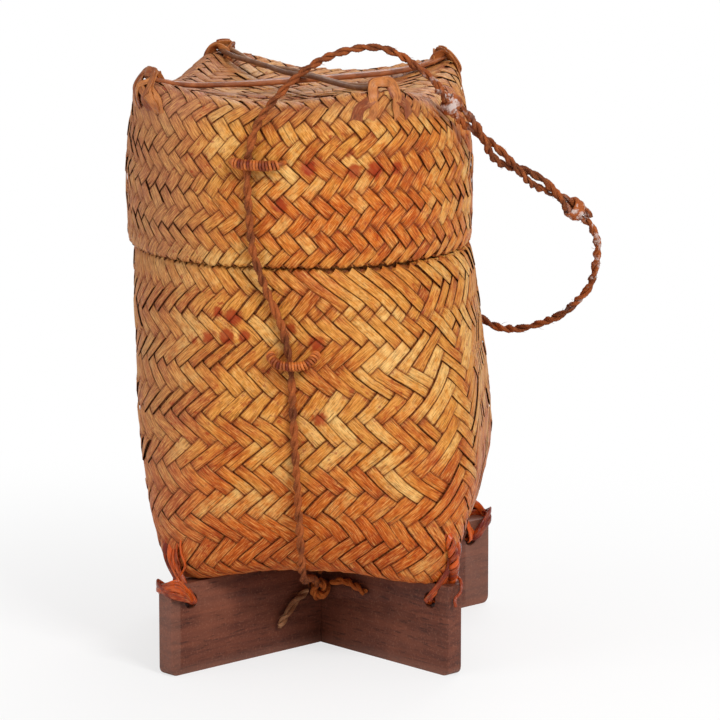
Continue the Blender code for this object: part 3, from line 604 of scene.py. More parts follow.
def twine_look(name, light, deep, worn=0.0):
    """Twisted plant fibre."""
    look = Look(name, 0.75, 0.25)
    fibre = look.noise(look.uv(2.4, 0.8), 3.0, 4.0, 0.7)
    fine = look.noise(look.uv(9.0, 0.9), 2.0, 2.0, 0.6)
    patch = look.noise(look.place(), 110.0, 2.0, 0.5)
    dip = look.tone("Blue")
    colour = look.mix(patch.between(0.35, 0.65), light, deep)
    colour = look.mix(((fibre - 0.5) * 2.8).clamped(), colour, srgb(84, 32, 12))
    # Painted highlights: thin orange streaks along the fibres
    colour = look.mix(((0.5 - fine) * 2.2).clamped(), colour, srgb(232, 150, 80))
    if worn:
        scuff = look.noise(look.place(), 260.0, 3.0, 0.6).between(0.50, 0.62)
        colour = look.mix(scuff * look.tone("Green") * worn, colour, srgb(226, 214, 208))
    colour = look.mix((dip * 0.85).clamped(), colour, srgb(56, 20, 8))
    look.colour(colour)
    look.bump(fibre * 0.7 + fine * 0.7, strength=0.9, distance=0.00035)
    return look.material


# The shapes of the plaited walls


def corner_of(half, rounding):
    """How far out the corners lie on a square of this half width and rounding."""
    return (half - rounding) * math.sqrt(2) + rounding


def rounding_of(half, corner):
    """The rounding of a square of this half width whose corners lie this far out."""
    return np.clip((math.sqrt(2) * half - corner) / (math.sqrt(2) - 1), 1e-6, np.maximum(half, 2e-6))


def body_half(share):
    swell = math.sin(QUARTER * min(1.0, share / BELLY_SHARE)) ** 0.8
    draw = max(0.0, (share - DRAW_SHARE) / (1.0 - DRAW_SHARE)) ** 2
    return BASE_HALF + (BELLY_HALF - BASE_HALF) * swell - (BELLY_HALF - RIM_RADIUS) * draw


BASE_CORNER = corner_of(BASE_HALF, BASE_ROUNDING)
CORNER_EDGE = 1.2 * BASE_EDGE


def drawn_down(corner):
    return min(1.0, corner / (BASE_CORNER - CORNER_EDGE)) ** 2


def body_rows(inset, pocket, shares):
    """The body's meridian, an inset inside its outline: rows of half, corner, height and corner rise."""
    base = PLANK_HEIGHT + GAP
    lowest = base + inset
    rows = []
    for share in shares:
        half = body_half(share)
        rounding = BASE_ROUNDING + (half - BASE_ROUNDING) * share ** 0.9
        corner = corner_of(half, rounding) - inset
        corner -= pocket * max(0.0, 1.0 - share / POCKET_SHARE)
        side_base = base + BASE_EDGE * 0.75
        height = side_base + share * (RIM_Z - side_base)
        near_base = (1.0 - share) ** 6
        lift = BASE_LIFT * near_base
        rows.append((half - inset, corner, height + lift + inset * near_base, -lift * drawn_down(corner)))
    edge_half = BASE_HALF - inset
    edge_corner = BASE_CORNER - inset - pocket
    for drop, draw in ((0.24, 0.30), (0.0, 1.0)):
        corner = edge_corner - draw * CORNER_EDGE
        rows.append((
            edge_half - draw * BASE_EDGE, corner,
            lowest + BASE_EDGE * drop + BASE_LIFT, -BASE_LIFT * drawn_down(corner),
        ))
    for share in (0.72, 0.36, 0.0):
        half, corner = (edge_half - BASE_EDGE) * share, (edge_corner - CORNER_EDGE) * share
        rows.append((
            half, corner, lowest + BASE_LIFT + BASE_CROWN * (1 - share), -BASE_LIFT * drawn_down(corner),
        ))
    return rows


def lid_rows(inset, steps=8):
    """The lid's meridian, from just above its rim over the shoulder to the middle of its top."""
    rows = []
    for share in (0.0, 0.4):
        half = LID_RIM_RADIUS + (LID_BULGE - LID_RIM_RADIUS) * share * 1.4 - inset
        rows.append((half, half, LID_RIM_Z + share * LID_SHOULDER, 0.0))
    drop = 1.15 * inset
    for step in range(steps + 1):
        turn = QUARTER * step / steps
        wide, high = math.cos(turn), math.sin(turn)
        corner = LID_TOP_CORNER + (LID_BULGE - LID_TOP_CORNER) * math.sqrt(max(0.0, wide))
        rows.append((
            LID_TOP_HALF + (LID_BULGE - LID_TOP_HALF) * wide - inset, corner - inset,
            LID_RIM_Z + LID_SHOULDER + (LID_HEIGHT - LID_SHOULDER) * high - drop * high,
            LID_PEAK * high ** 4 * (1.0 - inset / corner) ** 3,
        ))
    for share in (0.85, 0.55, 0.25, 0.0):
        half = max(0.0, LID_TOP_HALF * share - inset)
        corner = half * (1.0 + (LID_TOP_CORNER / LID_TOP_HALF - 1.0) * share)
        rows.append((
            half, corner, LID_RIM_Z + LID_HEIGHT - LID_DISH * (1 - share ** 2) - drop,
            LID_PEAK * (corner / LID_TOP_CORNER) ** 3,
        ))
    return rows


def folded(rows, up, reach=0.0045):
    """The same meridian with its rim's strips folded over and a little way back inside."""
    half, corner, rim, rise = rows[0]
    fold = [
        (half - deep, corner - deep, rim - up * drop - up * more, rise)
        for deep, drop, more in (
            (0.0018, 0.0015, reach), (0.0018, 0.0015, 0.0), (0.0014, 0.0009, 0.0),
            (0.0008, 0.0006, 0.0), (0.0002, 0.0009, 0.0), (0.0, 0.0015, 0.0),
        )
    ]
    return fold + rows[1:], len(fold) - 1


class Wall:
    """A plaited wall on a meridian that runs from a rim, over its sides, to the middle of its end."""

    EASE = 10

    def __init__(self, rows, first, centre, turn, outward, row=ROW):
        self.middle = CELLS / 2
        self.cell = FLAT_HALF / self.middle
        table = self.eased(np.array(rows))
        steps = np.hypot(np.diff(table[:, 0]), np.diff(table[:, 2]))
        marks = np.concatenate([[0.0], np.cumsum(steps)])
        start = marks[first * self.EASE]
        edge = marks[-1] - FLAT_HALF
        self.sides = int(round((edge - start) / row))
        self.row = (edge - start) / self.sides
        side = (marks - start) / self.row
        flat = self.sides + (marks - edge) / (self.cell / 2)
        self.marks = np.where(marks <= edge, side, flat)
        self.table = table
        self.centre = centre
        self.turn = turn
        self.outward = outward
        self.begin = float(self.marks[0])

    def eased(self, rows):
        """More rows between the given ones, on a smooth line that doesn't overshoot."""
        out = []
        for index in range(len(rows) - 1):
            before, low = rows[max(0, index - 1)], rows[index]
            high, after = rows[index + 1], rows[min(len(rows) - 1, index + 2)]
            gain = high - low
            start, end = (
                np.where(slope * gain <= 0, 0.0, np.sign(gain) * np.minimum(abs(slope), 3 * abs(gain)))
                for slope in ((high - before) / 2, (after - low) / 2)
            )
            for step in range(self.EASE):
                t = step / self.EASE
                out.append(
                    (2 * t ** 3 - 3 * t ** 2 + 1) * low + (t ** 3 - 2 * t ** 2 + t) * start
                    + (3 * t ** 2 - 2 * t ** 3) * high + (t ** 3 - t ** 2) * end
                )
        out.append(rows[-1])
        return np.array(out)

    def spot(self, side, t, r):
        """Points on the wall, at places t along a side's cells and at rows r from the rim."""
        side, t, r = (np.asarray(v, dtype=float) for v in np.broadcast_arrays(side, t, r))
        inner = r > self.sides
        along = CELLS * side + t
        around = np.floor(along / CELLS)
        fold = (along - CELLS * around) / self.middle - 1.0
        out_x = self.middle - (r - self.sides) / 2
        out_y = t - self.middle
        size = np.maximum(np.maximum(abs(out_x), abs(out_y)), 1e-6)
        turn = np.where(
            abs(out_x) >= abs(out_y), np.where(out_x >= 0, 0, 2), np.where(out_y >= 0, 1, 3)
        )
        across = np.select(
            [turn == 0, turn == 1, turn == 2, turn == 3], [out_y, -out_x, -out_y, out_x]
        )
        quarter = np.where(inner, side + turn, around)
        fold = np.where(inner, across / size, fold)
        row = np.where(inner, self.sides + 2 * (self.middle - size), r)
        half, corner, height, rise = (np.interp(row, self.marks, self.table[:, k]) for k in range(4))
        rounding = rounding_of(half, corner)
        straight = half - rounding
        far = fold * (straight + rounding * math.pi / 4)
        bend = np.maximum(0.0, abs(far) - straight) / rounding
        px = np.where(abs(far) <= straight, half, straight + rounding * np.cos(bend))
        py = np.where(abs(far) <= straight, far, np.sign(far) * (straight + rounding * np.sin(bend)))
        angle = np.arctan2(py, px)
        z = height + rise * (0.5 - 0.5 * np.cos(4 * angle)) ** 2
        way = quarter * QUARTER + self.turn
        x = self.centre(z) + px * np.cos(way) - py * np.sin(way)
        y = px * np.sin(way) + py * np.cos(way)
        return np.stack([x, y, z], axis=-1)

    def normal(self, side, t, r):
        step = 0.04
        along = self.spot(side, t + step, r) - self.spot(side, t - step, r)
        down = self.spot(side, t, r + step) - self.spot(side, t, r - step)
        out = np.cross(along, down) * self.outward
        return out / np.maximum(np.linalg.norm(out, axis=-1, keepdims=True), 1e-12)

    def at(self, angle, height, out=0.0):
        """A point on the side at a world angle and height, or off it by a distance."""
        side_marks = self.marks[(self.marks >= 0) & (self.marks <= self.sides)]
        heights = np.interp(side_marks, self.marks, self.table[:, 2])
        order = np.argsort(heights)
        r = float(np.interp(height, heights[order], side_marks[order]))
        local = (angle - self.turn) / QUARTER
        side = math.floor(local + 0.5)
        half, corner = (float(np.interp(r, self.marks, self.table[:, k])) for k in range(2))
        rounding = float(rounding_of(half, corner))
        straight = half - rounding
        fold = (local - side) * QUARTER
        if abs(half * math.tan(fold)) <= straight:
            far = half * math.tan(fold)
        else:
            reach = straight * (math.cos(fold) + math.sin(abs(fold)))
            reach += math.sqrt(max(0.0, rounding ** 2 - 2 * straight ** 2 + reach ** 2))
            bend = math.atan2(reach * math.sin(abs(fold)) - straight, reach * math.cos(fold) - straight)
            far = math.copysign(straight + rounding * bend, fold)
        t = self.middle * (1.0 + far / (straight + rounding * math.pi / 4))
        point = self.spot(side, t, r)
        if out:
            point = point + out * self.normal(side, np.float64(t), np.float64(r))
        return Vector(point.tolist())


def body_centre(z):
    return -BODY_LEAN * np.maximum(0.0, z - PLANK_HEIGHT - LEAN_START)


def neck_centre(z):
    share = np.clip((z - RIM_Z + NECK_BEND) / NECK_BEND, 0.0, 1.0)
    return (1 - share) * body_centre(z) + share * NECK_X


def lid_centre(z):
    return LID_X + 0.0 * z


def lid_point(angle, reach, z):
    """A point over the lid, at an angle round it and a distance from its middle."""
    way = angle + LID_TURN
    return Vector((LID_X + reach * math.cos(way), reach * math.sin(way), z))


BODY_SHARES = (1.0, 0.94, 0.85, 0.68, 0.50, 0.34, 0.21, 0.11, 0.03)
LINER_SHARES = BODY_SHARES[2:]


def outer_wall():
    rows = body_rows(PLAIT_INSET, 0.0, BODY_SHARES)
    return Wall(*folded(rows, up=1), body_centre, BODY_TURN, -1)


def inner_wall():
    inset = BODY_WALL + LAYER_GAP + PLAIT_INSET
    neck = [(radius, radius, height, 0.0) for radius, height in (
        (NECK_RADIUS - 0.0012, RIM_Z + NECK_RISE),
        (NECK_RADIUS - 0.0010, RIM_Z + 0.6 * NECK_RISE),
        (NECK_RADIUS - 0.0006, RIM_Z + 0.25 * NECK_RISE),
        (NECK_RADIUS - 0.0004, RIM_Z - 0.002),
        (RIM_RADIUS - inset - LAYER_GAP, RIM_Z - 0.009),
    )]
    rows = neck + body_rows(inset, CORNER_POCKET, LINER_SHARES)
    return Wall(*folded(rows, up=1, reach=0.006), neck_centre, BODY_TURN, -1)


def lid_wall():
    return Wall(*folded(lid_rows(PLAIT_INSET), up=-1), lid_centre, LID_TURN, 1, LID_ROW)


def lid_lining():
    rows = lid_rows(LID_WALL + LAYER_GAP + PLAIT_INSET)
    return Wall(*folded(rows, up=-1, reach=0.003), lid_centre, LID_TURN, 1)


# Plaiting


def bands(first_rising, rows=3):
    """A twill in level bands of some rows: whether the upper strip at a crossing is the one going in."""

    def rule(side, t, r):
        return ((r // rows) % 2 == 0) == first_rising

    return rule


def body_bands(side, t, r):
    """The body's twill: level bands, upright ones by the front right corner, floats under the lid."""
    around = (CELLS * side + t + 2 * CELLS) % (4 * CELLS) - 2 * CELLS
    top = (r // 3) % 2 == 1
    long_floats = (around > -6.1) & (around < 0.5) & (r < 5)
    top = np.where(long_floats, False, top)
    upright = (around > -0.2) & (around < 4.1) & (r > 7) & (r < 29)
    columns = np.floor(2 * around / 3) % 2 == 0
    return np.where(upright, columns, top)


def strip_place(wall, edge, run, across, turn, u):
    """Side, cell, row and ring at distances along a strip, and whether the strip still goes in there."""
    down = u <= run
    over = (u > run) & (u < run + across)
    deep = u - run
    back = deep - across
    r = np.where(down, wall.sides - (run - u), np.where(over, wall.sides + deep, wall.sides - back))
    t = edge - np.where(down, -(run - u) / 2, deep / 2)
    t = np.where(u >= run + across, CELLS - edge - back / 2, t)
    t = np.where(turn > 0, CELLS - t, t)
    quarter = np.where(u >= run + across, turn, 0)
    ring = np.where(over, wall.sides + np.minimum(deep, across - deep), r)
    own = u <= run + across / 2
    return quarter, t, r, ring, own


def wandering(wall, side, t, r):
    """Places on a wall's sides, shifted as a hand-plaited twill wanders; its rim and end stay level."""
    hold = np.clip(r / 4, 0.0, 1.0) * np.clip((wall.sides - r) / 4, 0.0, 1.0)
    turn = WHOLE * (CELLS * side + t) / (4 * CELLS)
    along = np.sin(0.50 * r + 2 * turn) + 0.6 * np.sin(0.95 * r + 5 * turn + 1.0)
    level = np.sin(3 * turn + 1.0) + 0.7 * np.sin(7 * turn + 2.1) + 0.5 * np.sin(11 * turn + 0.4 * r)
    return t + 0.15 * hold * along, r + 0.22 * hold * level


# A strip's cross section: places across its width, and heights in shares of its thickness
CROWNED = np.array([[-1.0, 0.0], [-0.84, 0.44], [0.0, 0.56], [0.84, 0.44], [1.0, 0.0], [0.0, -0.5]])
PLAIN = np.array([[-1.0, 0.1], [0.0, 0.5], [1.0, 0.1], [0.0, -0.5]])


def plait(name, wall, rule, fill, seed, section=CROWNED):
    """All the strips of a wall as one mesh; each strip fills some share of its place."""
    rng = np.random.default_rng(seed)
    columns, lifts = section.T
    count = len(columns)
    points, uvs, tones, faces = [], [], [], []
    base = 0
    begin = math.ceil(wall.begin)
    run = wall.sides - begin
    for number in range(4 * CELLS):
        side, index = divmod(number, CELLS)
        edge, across, turn = index + 0.5, 2 * index + 1, wall.outward
        crossings = np.arange(2 * run + across + 1, dtype=float)
        quarter, t, r, ring, own = strip_place(wall, edge, run, across, turn, crossings)
        rising = rule(quarter + side, t, np.round(ring))
        over = np.where(rising, own, ~own)
        u, lift, dip, float_of = strip_samples(over)
        quarter, t, r, _, own = strip_place(wall, edge, run, across, turn, u)
        samples = len(u)
        tone_of_float = rng.random(int(float_of.max()) + 2)
        shingle = SHINGLE * (1.0 if rng.random() < SHINGLED else -0.7)
        tilt = (shingle + (rng.random(len(tone_of_float)) - 0.5) * TILT_SPREAD)[float_of]
        raise_ = (rng.random(len(tone_of_float)) ** 5)[float_of] * LOOSE_RISE * (lift > 0.9)
        narrow = 1.0 - 0.20 * rng.random() ** 5
        marks = np.linspace(0, u[-1], 14)
        drift = 0.06 * np.interp(u, marks, rng.standard_normal(14))
        narrow = narrow * (1.0 - 0.05 * abs(np.interp(u, marks, rng.standard_normal(14))))
        row_height = np.where(r <= wall.sides, wall.row, wall.cell / 2)
        norm = np.hypot(row_height, wall.cell / 2)
        narrow = narrow * fill * wall.cell * row_height / norm / 2
        sense = np.where(u >= run + across, -1.0, 1.0)
        dt = sense * narrow * row_height / norm / wall.cell
        dr = -turn * narrow * (wall.cell / 2) / norm / row_height
        shift = columns[None, :] + drift[:, None]
        flat_t = t[:, None] + shift * dt[:, None]
        flat_r = np.maximum(r[:, None] + shift * dr[:, None], wall.begin)
        sides = np.broadcast_to((quarter + side)[:, None], flat_t.shape)
        flat_t, flat_r = wandering(wall, sides, flat_t, flat_r)
        off = (PLAIT_DEPTH * lift + raise_)[:, None] + STRIP_THICKNESS * lifts[None, :]
        off = off + tilt[:, None] * columns[None, :] * (lift > 0)[:, None]
        form = wall.spot(sides, flat_t, flat_r) + wall.normal(sides, flat_t, flat_r) * off[..., None]
        points.append(form.reshape(-1, 3))
        steps = np.linalg.norm(np.diff(form[:, 0], axis=0), axis=1)
        along = np.concatenate([[0.0], np.cumsum(steps)]) / STRIP_UNIT
        uv = np.empty((samples, count, 2))
        uv[..., 0] = columns[None, :] * 0.5 + 4 * number
        uv[..., 1] = along[:, None] + 11.3 * number
        uvs.append(uv.reshape(-1, 2))
        tone = np.empty((samples, count, 3))
        tone[..., 0] = rng.random()
        tone[..., 1] = tone_of_float[float_of][:, None]
        # Painted shade in the tone's blue channel: darker along both edges of a strip, more on one side
        # than the other, and on its underside
        edge_shade = 0.46 * (columns < -0.9) + 0.22 * (columns > 0.9) + 0.5 * (lifts < -0.3)
        tone[..., 2] = np.clip(dip[:, None] + edge_shade[None, :], 0.0, 1.0)
        tones.append(tone.reshape(-1, 3))
        first = base + np.arange(samples - 1)[:, None] * count
        k = np.arange(count)[None, :]
        n = (k + 1) % count
        quads = np.stack([first + k, first + n, first + n + count, first + k + count], axis=-1)
        faces.extend(quads.reshape(-1, 4).tolist())
        faces.append(list(range(base + count - 1, base - 1, -1)))
        faces.append(list(range(base + (samples - 1) * count, base + samples * count)))
        base += samples * count
    points, uvs, tones = (np.concatenate(rows) for rows in (points, uvs, tones))
    return new_object(name, points, faces, uvs, tones, smooth=50.0)


def strip_samples(over):
    """Where a strip is sampled: at each crossing, and closely where it changes from over to under.

    Each sample has its distance, its height, how dark its painted shade makes it and the number of its
    float.
    """
    samples = []
    run = 0
    for k, top in enumerate(over):
        way = 1.0 if top else -1.0
        # Painted shade: a sample is darker the further its strip has dived under a crossing strip
        samples.append((k, way, 0.0 if top else 0.85, run))
        if k + 1 < len(over) and over[k + 1] != top:
            for part, height in ((0.34, 1.0), (0.45, 0.6), (0.57, -0.6), (0.68, -1.0)):
                lift = way * height
                dip = 0.13 if lift > 0.9 else (0.38 if lift > 0 else 0.9)
                samples.append((k + part, lift, dip, run + (part > 0.5)))
            run += 1
    u, lift, dip, float_of = np.array(samples, dtype=float).T
    return u, lift, dip, float_of.astype(int)


# Canes and cord


# A cord's two plies, in shares of its diameter, and the length over which their lay and size change
PLY_RADIUS = 0.285
PLY_OFFSET = 0.245
PLY_CHANGE = 0.006
FIBRE_UNIT = 0.004
HAIR = 0.00009


class Form:
    """Tubes and strands gathered into one mesh."""

    def __init__(self):
        self.points, self.faces, self.uvs, self.tones = [], [], [], []

    def tube(self, line, section, tone, spin=None, scale=None, ups=None, twist=0.0):
        """A closed tube: a section of (side, up) points along a line, turned and scaled on its way."""
        count, base = len(section), len(self.points)
        run = 0.0
        for index, (_, side, up) in enumerate(frames(line, ups)):
            if index:
                run += (line[index] - line[index - 1]).length
            turn = spin[index] if spin is not None else 0.0
            size = scale[index] if scale is not None else 1.0
            one = math.cos(turn) * side + math.sin(turn) * up
            two = math.cos(turn) * up - math.sin(turn) * side
            for k, (a, b) in enumerate(section):
                self.points.append(line[index] + one * (size * a) + two * (size * b))
                self.uvs.append((2.0 * k / count + twist * run, run / FIBRE_UNIT))
                self.tones.append(tone(index, k) if callable(tone) else tone)
        for index in range(len(line) - 1):
            first = base + index * count
            for k in range(count):
                n = (k + 1) % count
                self.faces.append((first + k, first + n, first + n + count, first + k + count))
        last = base + (len(line) - 1) * count
        self.faces.append(tuple(range(base + count - 1, base - 1, -1)))
        self.faces.append(tuple(range(last, last + count)))

    def make(self, name, smooth=55.0):
        return new_object(name, self.points, self.faces, self.uvs, self.tones, smooth)


def round_section(radius, sides=10):
    return [
        (radius * math.cos(WHOLE * k / sides), radius * math.sin(WHOLE * k / sides)) for k in range(sides)
    ]


def flat_section(width, thickness, sides=12):
    out = []
    for k in range(sides):
        turn = WHOLE * (k + 0.5) / sides
        wide = math.copysign(abs(math.cos(turn)) ** 0.5, math.cos(turn))
        thick = math.copysign(abs(math.sin(turn)) ** 0.8, math.sin(turn))
        out.append((wide * width / 2, thick * thickness / 2))
    return out


def rope(name, points, diameter, lay, seed, worn=None, hairs=0):
    """Two strands twisted round each other, with a few loose fibres."""
    form = Form()
    rng = np.random.default_rng(seed)
    marks = [0.0]
    for a, b in zip(points, points[1:]):
        marks.append(marks[-1] + (b - a).length)
    knots = np.linspace(0.0, marks[-1], max(4, int(marks[-1] / PLY_CHANGE)))
    slip = np.interp(marks, knots, 0.45 * rng.standard_normal(len(knots)))
    around = frames(points)
    for ply in range(2):
        swell = np.interp(marks, knots, 1.0 + 0.09 * rng.standard_normal(len(knots)))
        line = []
        for index, (_, side, up) in enumerate(around):
            turn = WHOLE * marks[index] / lay + slip[index] + ply * math.pi
            out = PLY_OFFSET * diameter * (math.cos(turn) * side + math.sin(turn) * up)
            line.append(points[index] + out)
        ridges = PLY_RADIUS * diameter * (1.0 + 0.10 * rng.standard_normal(9))
        section = [(ridge * a, ridge * b) for ridge, (a, b) in zip(ridges, round_section(1.0, 9))]
        shade = rng.random()

        def tone(index, k):
            rub = worn(points[index]) if worn else 0.0
            return (shade, rub, 0.35 * ((k + index) % 3 == 0))

        spin = [1.3 * WHOLE * mark / lay for mark in marks]
        form.tube(line, section, tone, spin, np.clip(swell, 0.82, 1.16).tolist(), twist=160.0)
    for _ in range(hairs):
        start = rng.integers(2, len(points) - 3)
        way, side, up = around[start]
        turn = rng.random() * WHOLE
        out = math.cos(turn) * side + math.sin(turn) * up
        reach = 0.0010 + 0.0017 * rng.random() ** 2
        lean = way * (0.5 + rng.random()) * reach
        foot = points[start] + 0.42 * diameter * out
        line = [foot, foot + 0.5 * reach * out + 0.4 * lean, foot + 0.8 * reach * out + lean]
        form.tube(line, round_section(HAIR, 3), (rng.random(), 0.0, 0.0), scale=[1.0, 0.8, 0.3])
    return form.make(name, 70.0)


def add_winding(form, core, radius, thread, seed, per=12):
    """Thin cane wound closely round a core line."""
    rng = np.random.default_rng(seed)
    pitch = WINDING_PITCH * thread
    fine = even_points(core, 401)
    around = frames(fine)
    step = (fine[1] - fine[0]).length
    turns = int(400 * step / pitch)
    shades = rng.random(turns + 2)
    line = []
    for mark in range(turns * per + 1):
        share = mark / per
        place = min(share * pitch / step, 399.0)
        low = int(place)
        centre = fine[low].lerp(fine[low + 1], place - low)
        _, side, up = around[low]
        turn = WHOLE * share
        reach = radius + thread / 2 + 0.00008 * shades[int(share)]
        line.append(centre + (math.cos(turn) * side + math.sin(turn) * up) * reach)

    def tone(index, _):
        return (shades[index // per], 0.5, 0.0)

    form.tube(line, round_section(thread / 2, 8), tone)


def strand(form, points, ups, width, thickness, seed, fray=0.12):
    """A flat strand of split cane: its broad side along the given up directions."""
    rng = np.random.default_rng(seed)
    count = len(points)
    sway = np.interp(np.arange(count), np.linspace(0, count, 6), rng.standard_normal(6))
    scale = np.clip(1.0 + fray * sway, 0.75, 1.25).tolist()
    scale[0] *= 0.8
    scale[-1] *= 0.8
    shade = rng.random()

    def tone(index, _):
        return (shade, 0.5, 0.5 if index in (0, count - 1) else 0.0)

    form.tube(points, flat_section(width, thickness), tone, (0.15 * sway).tolist(), scale, ups)


def twisted(guide, radius, phase, start, end):
    """One of two cords twisted round a guide line, between two distances along it."""
    fine = even_points(guide, 1201)
    step = (fine[1] - fine[0]).length
    total = 1200 * step
    count = round((end - start) / CORD_SPACING)
    points = []
    for index in range(count + 1):
        mark = start + (end - start) * index / count
        centre, up, out = upright(fine, min(max(mark / step, 1.0), 1198.0))
        ease = min(1.0, mark / SPLICE_RAMP, (total - mark) / SPLICE_RAMP)
        turn = WHOLE * mark / SPLICE_TURN + phase
        points.append(centre + max(0.0, ease) * radius * (math.cos(turn) * up + math.sin(turn) * out))
    return points


def cord_lines():
    """The middle lines of the two lengths of cord, both from the knot."""
    guide = smooth_route(SPLICE_ROUTE, 0.001)
    total = route_length(guide)
    radius = (CORD + SPLICE_GAP) / 2
    front_end = twisted(guide, radius, 0.0, 0.0, total - SPLICE_RAMP)
    back_start = twisted(guide, radius, math.pi, SPLICE_RAMP, total)
    front = smooth_route(FRONT_ROUTE, CORD_SPACING)[:-1] + front_end
    back = back_start[:-1] + smooth_route(BACK_ROUTE, CORD_SPACING)
    back.reverse()
    return (even_points(front, 420), even_points(back, 570), guide, total)


# Operators: each makes one piece, or one group of like pieces


def tint(name, description, default):
    return bpy.props.FloatVectorProperty(
        name=name, description=description, default=default, subtype="COLOR", size=4, min=0.0, max=1.0,
    )


def filled(name, description, default):
    return bpy.props.FloatProperty(
        name=name, description=description, default=default, subtype="FACTOR", min=0.6, max=1.1,
    )


class RiceBasketSizes(bpy.types.PropertyGroup):
    strip_fill: filled("Strip width", "Share of its place that each strip of an outer wall fills", 1.01)
    lining_fill: filled("Lining strip width", "Share of its place that each inner strip fills", 1.06)
    rope_lay: bpy.props.FloatProperty(
        name="Lay of the cord", description="Length of one full turn of the cord's two strands",
        default=0.0125, min=0.005, max=0.04, unit="LENGTH",
    )


class RiceBasketColours(bpy.types.PropertyGroup):
    straw: tint("Straw", "Pale colour of the strips", srgb(208, 134, 52))
    amber: tint("Amber", "Warm colour that the strips have aged to", srgb(202, 92, 12))
    russet: tint("Russet", "Reddish brown of the darker strips", srgb(152, 58, 12))
    # Ash is blended over the left sides of the body and lid, where its greyer, darker tan is painted
    # shade, and over a few other grey patches
    ash: tint("Ash", "Greyish tan of the shaded side", srgb(170, 108, 76))
    stain: tint("Stain", "Colour of the red spots", srgb(150, 38, 5))
    floor: tint("Floor", "Colour of the floor and backdrop", (0.86, 0.86, 0.86, 1.0))


def sizes():
    return bpy.context.scene.rice_basket_sizes


def colours():
    return bpy.context.scene.rice_basket_colours


def body_warmth(x, z, cloud):
    low = 1.0 - z.between(0.050, 0.115)
    middle = (1.0 - (x * x * 900.0 + (z - 0.115) * (z - 0.115) * 500.0)).clamped()
    return (low * 0.95 + (cloud - 0.42) * 1.5 + middle * 0.10).clamped()


# Greyer towards the left and right edges of the body and in cloudy patches; the greying on the left is
# painted shade
def body_grey_and_shade(x, z, cloud):
    left = (x * -1.0).between(0.030, 0.070)
    right = x.between(0.058, 0.074)
    return (left * 0.62 + right * 0.40 + (0.5 - cloud) * 0.4).clamped()


def lid_warmth(x, z, cloud):
    dx, dz = x - 0.005, z - 0.192
    middle = (1.0 - (dx * dx * 420.0 + dz * dz * 1600.0)).clamped()
    right = x.between(0.0, 0.050) * (1.0 - z.between(0.222, 0.236))
    return (middle * 0.75 + right * 0.4 + (cloud - 0.45) * 1.2).clamped()


# Greyer on the lid's left, on its top and in cloudy patches; the greying on the left is painted shade
def lid_grey_and_shade(x, z, cloud):
    left = (x * -1.0).between(0.030, 0.066)
    top = z.between(0.224, 0.238)
    return (left * 0.75 + top * 0.45 + (0.5 - cloud) * 0.3).clamped()


def on_front(middle, spots):
    """The places and sizes of stains on the front of the walls, from their x, height and size."""
    return [
        ((x, -math.sqrt(SPOT_RADIUS ** 2 - (x - middle) ** 2), z), size) for x, z, size in spots
    ]


class RICEBASKET_OT_stage(bpy.types.Operator):
    """Make the floor, the light and the camera"""
    bl_idname = "ricebasket.stage"
    bl_label = "Stage"

    def execute(self, context):
        deselect()
        bpy.ops.mesh.primitive_plane_add(size=12.0, location=(0.0, 0.0, 0.0))
        floor = context.object
        floor.name = "floor"
        look = Look("floor", 0.9, 0.1)
        look.colour(tuple(colours().floor))
        seen = look.node("ShaderNodeLightPath", out="Is Camera Ray")
        glow = look.node("ShaderNodeEmission", None, {"Color": (1.0, 1.0, 1.0, 1.0), "Strength": 1.0})
        plain = Signal(look, look.shader.outputs[0])
        flat = look.node("ShaderNodeVectorMath", {"operation": "LENGTH"}, {0: look.place()}, out="Value")
        white = 0.70 + flat.between(0.10, 0.40) * 0.30
        mixed = look.node("ShaderNodeMixShader", None, {0: seen * white, 1: plain, 2: glow})
        look.tree.links.new(mixed.socket, look.tree.nodes["Material Output"].inputs["Surface"])
        floor.data.materials.append(look.material)
        world = bpy.data.worlds.new("surround")
        context.scene.world = world
        sky = Tree(world)
        back = sky.tree.nodes["Background"].inputs
        seen = sky.node("ShaderNodeLightPath", out="Is Camera Ray")
        sky.put(back["Color"], (1.0, 1.0, 1.0, 1.0))
        strength = sky.node("ShaderNodeMix", {"data_type": "FLOAT"}, {0: seen, 2: 0.50, 3: 1.0})
        sky.put(back["Strength"], strength)
        for name, place, size, power in (
            ("key", (0.75, -1.15, 1.15), 0.5, 17.6),
            ("fill", (-1.3, -0.8, 0.7), 1.0, 5.9),
            ("back", (0.3, 1.3, 1.1), 0.8, 9.0),
        ):
            deselect()
            bpy.ops.object.light_add(type="AREA", location=place)
            lamp = context.object
            lamp.name = "lamp_" + name
            lamp.data.size = size
            lamp.data.energy = power
            aim = Vector((0.0, 0.0, 0.12)) - Vector(place)
            lamp.rotation_euler = aim.to_track_quat("-Z", "Y").to_euler()
        deselect()
        bpy.ops.object.camera_add()
        camera = context.object
        camera.name = "camera"
        camera.data.sensor_width = SENSOR_WIDTH
        camera.data.lens = SENSOR_WIDTH * FOCAL_LENGTH / PICTURE_WIDTH
        camera.data.clip_end = 50.0
        camera.location = (
            VIEW_DISTANCE * math.sin(VIEW_ANGLE), -VIEW_DISTANCE * math.cos(VIEW_ANGLE), VIEW_HEIGHT,
        )
        camera.rotation_euler = (QUARTER - VIEW_PITCH, 0.0, VIEW_ANGLE - VIEW_YAW)
        context.scene.camera = camera
        context.scene.view_settings.view_transform = "Standard"
        return {"FINISHED"}


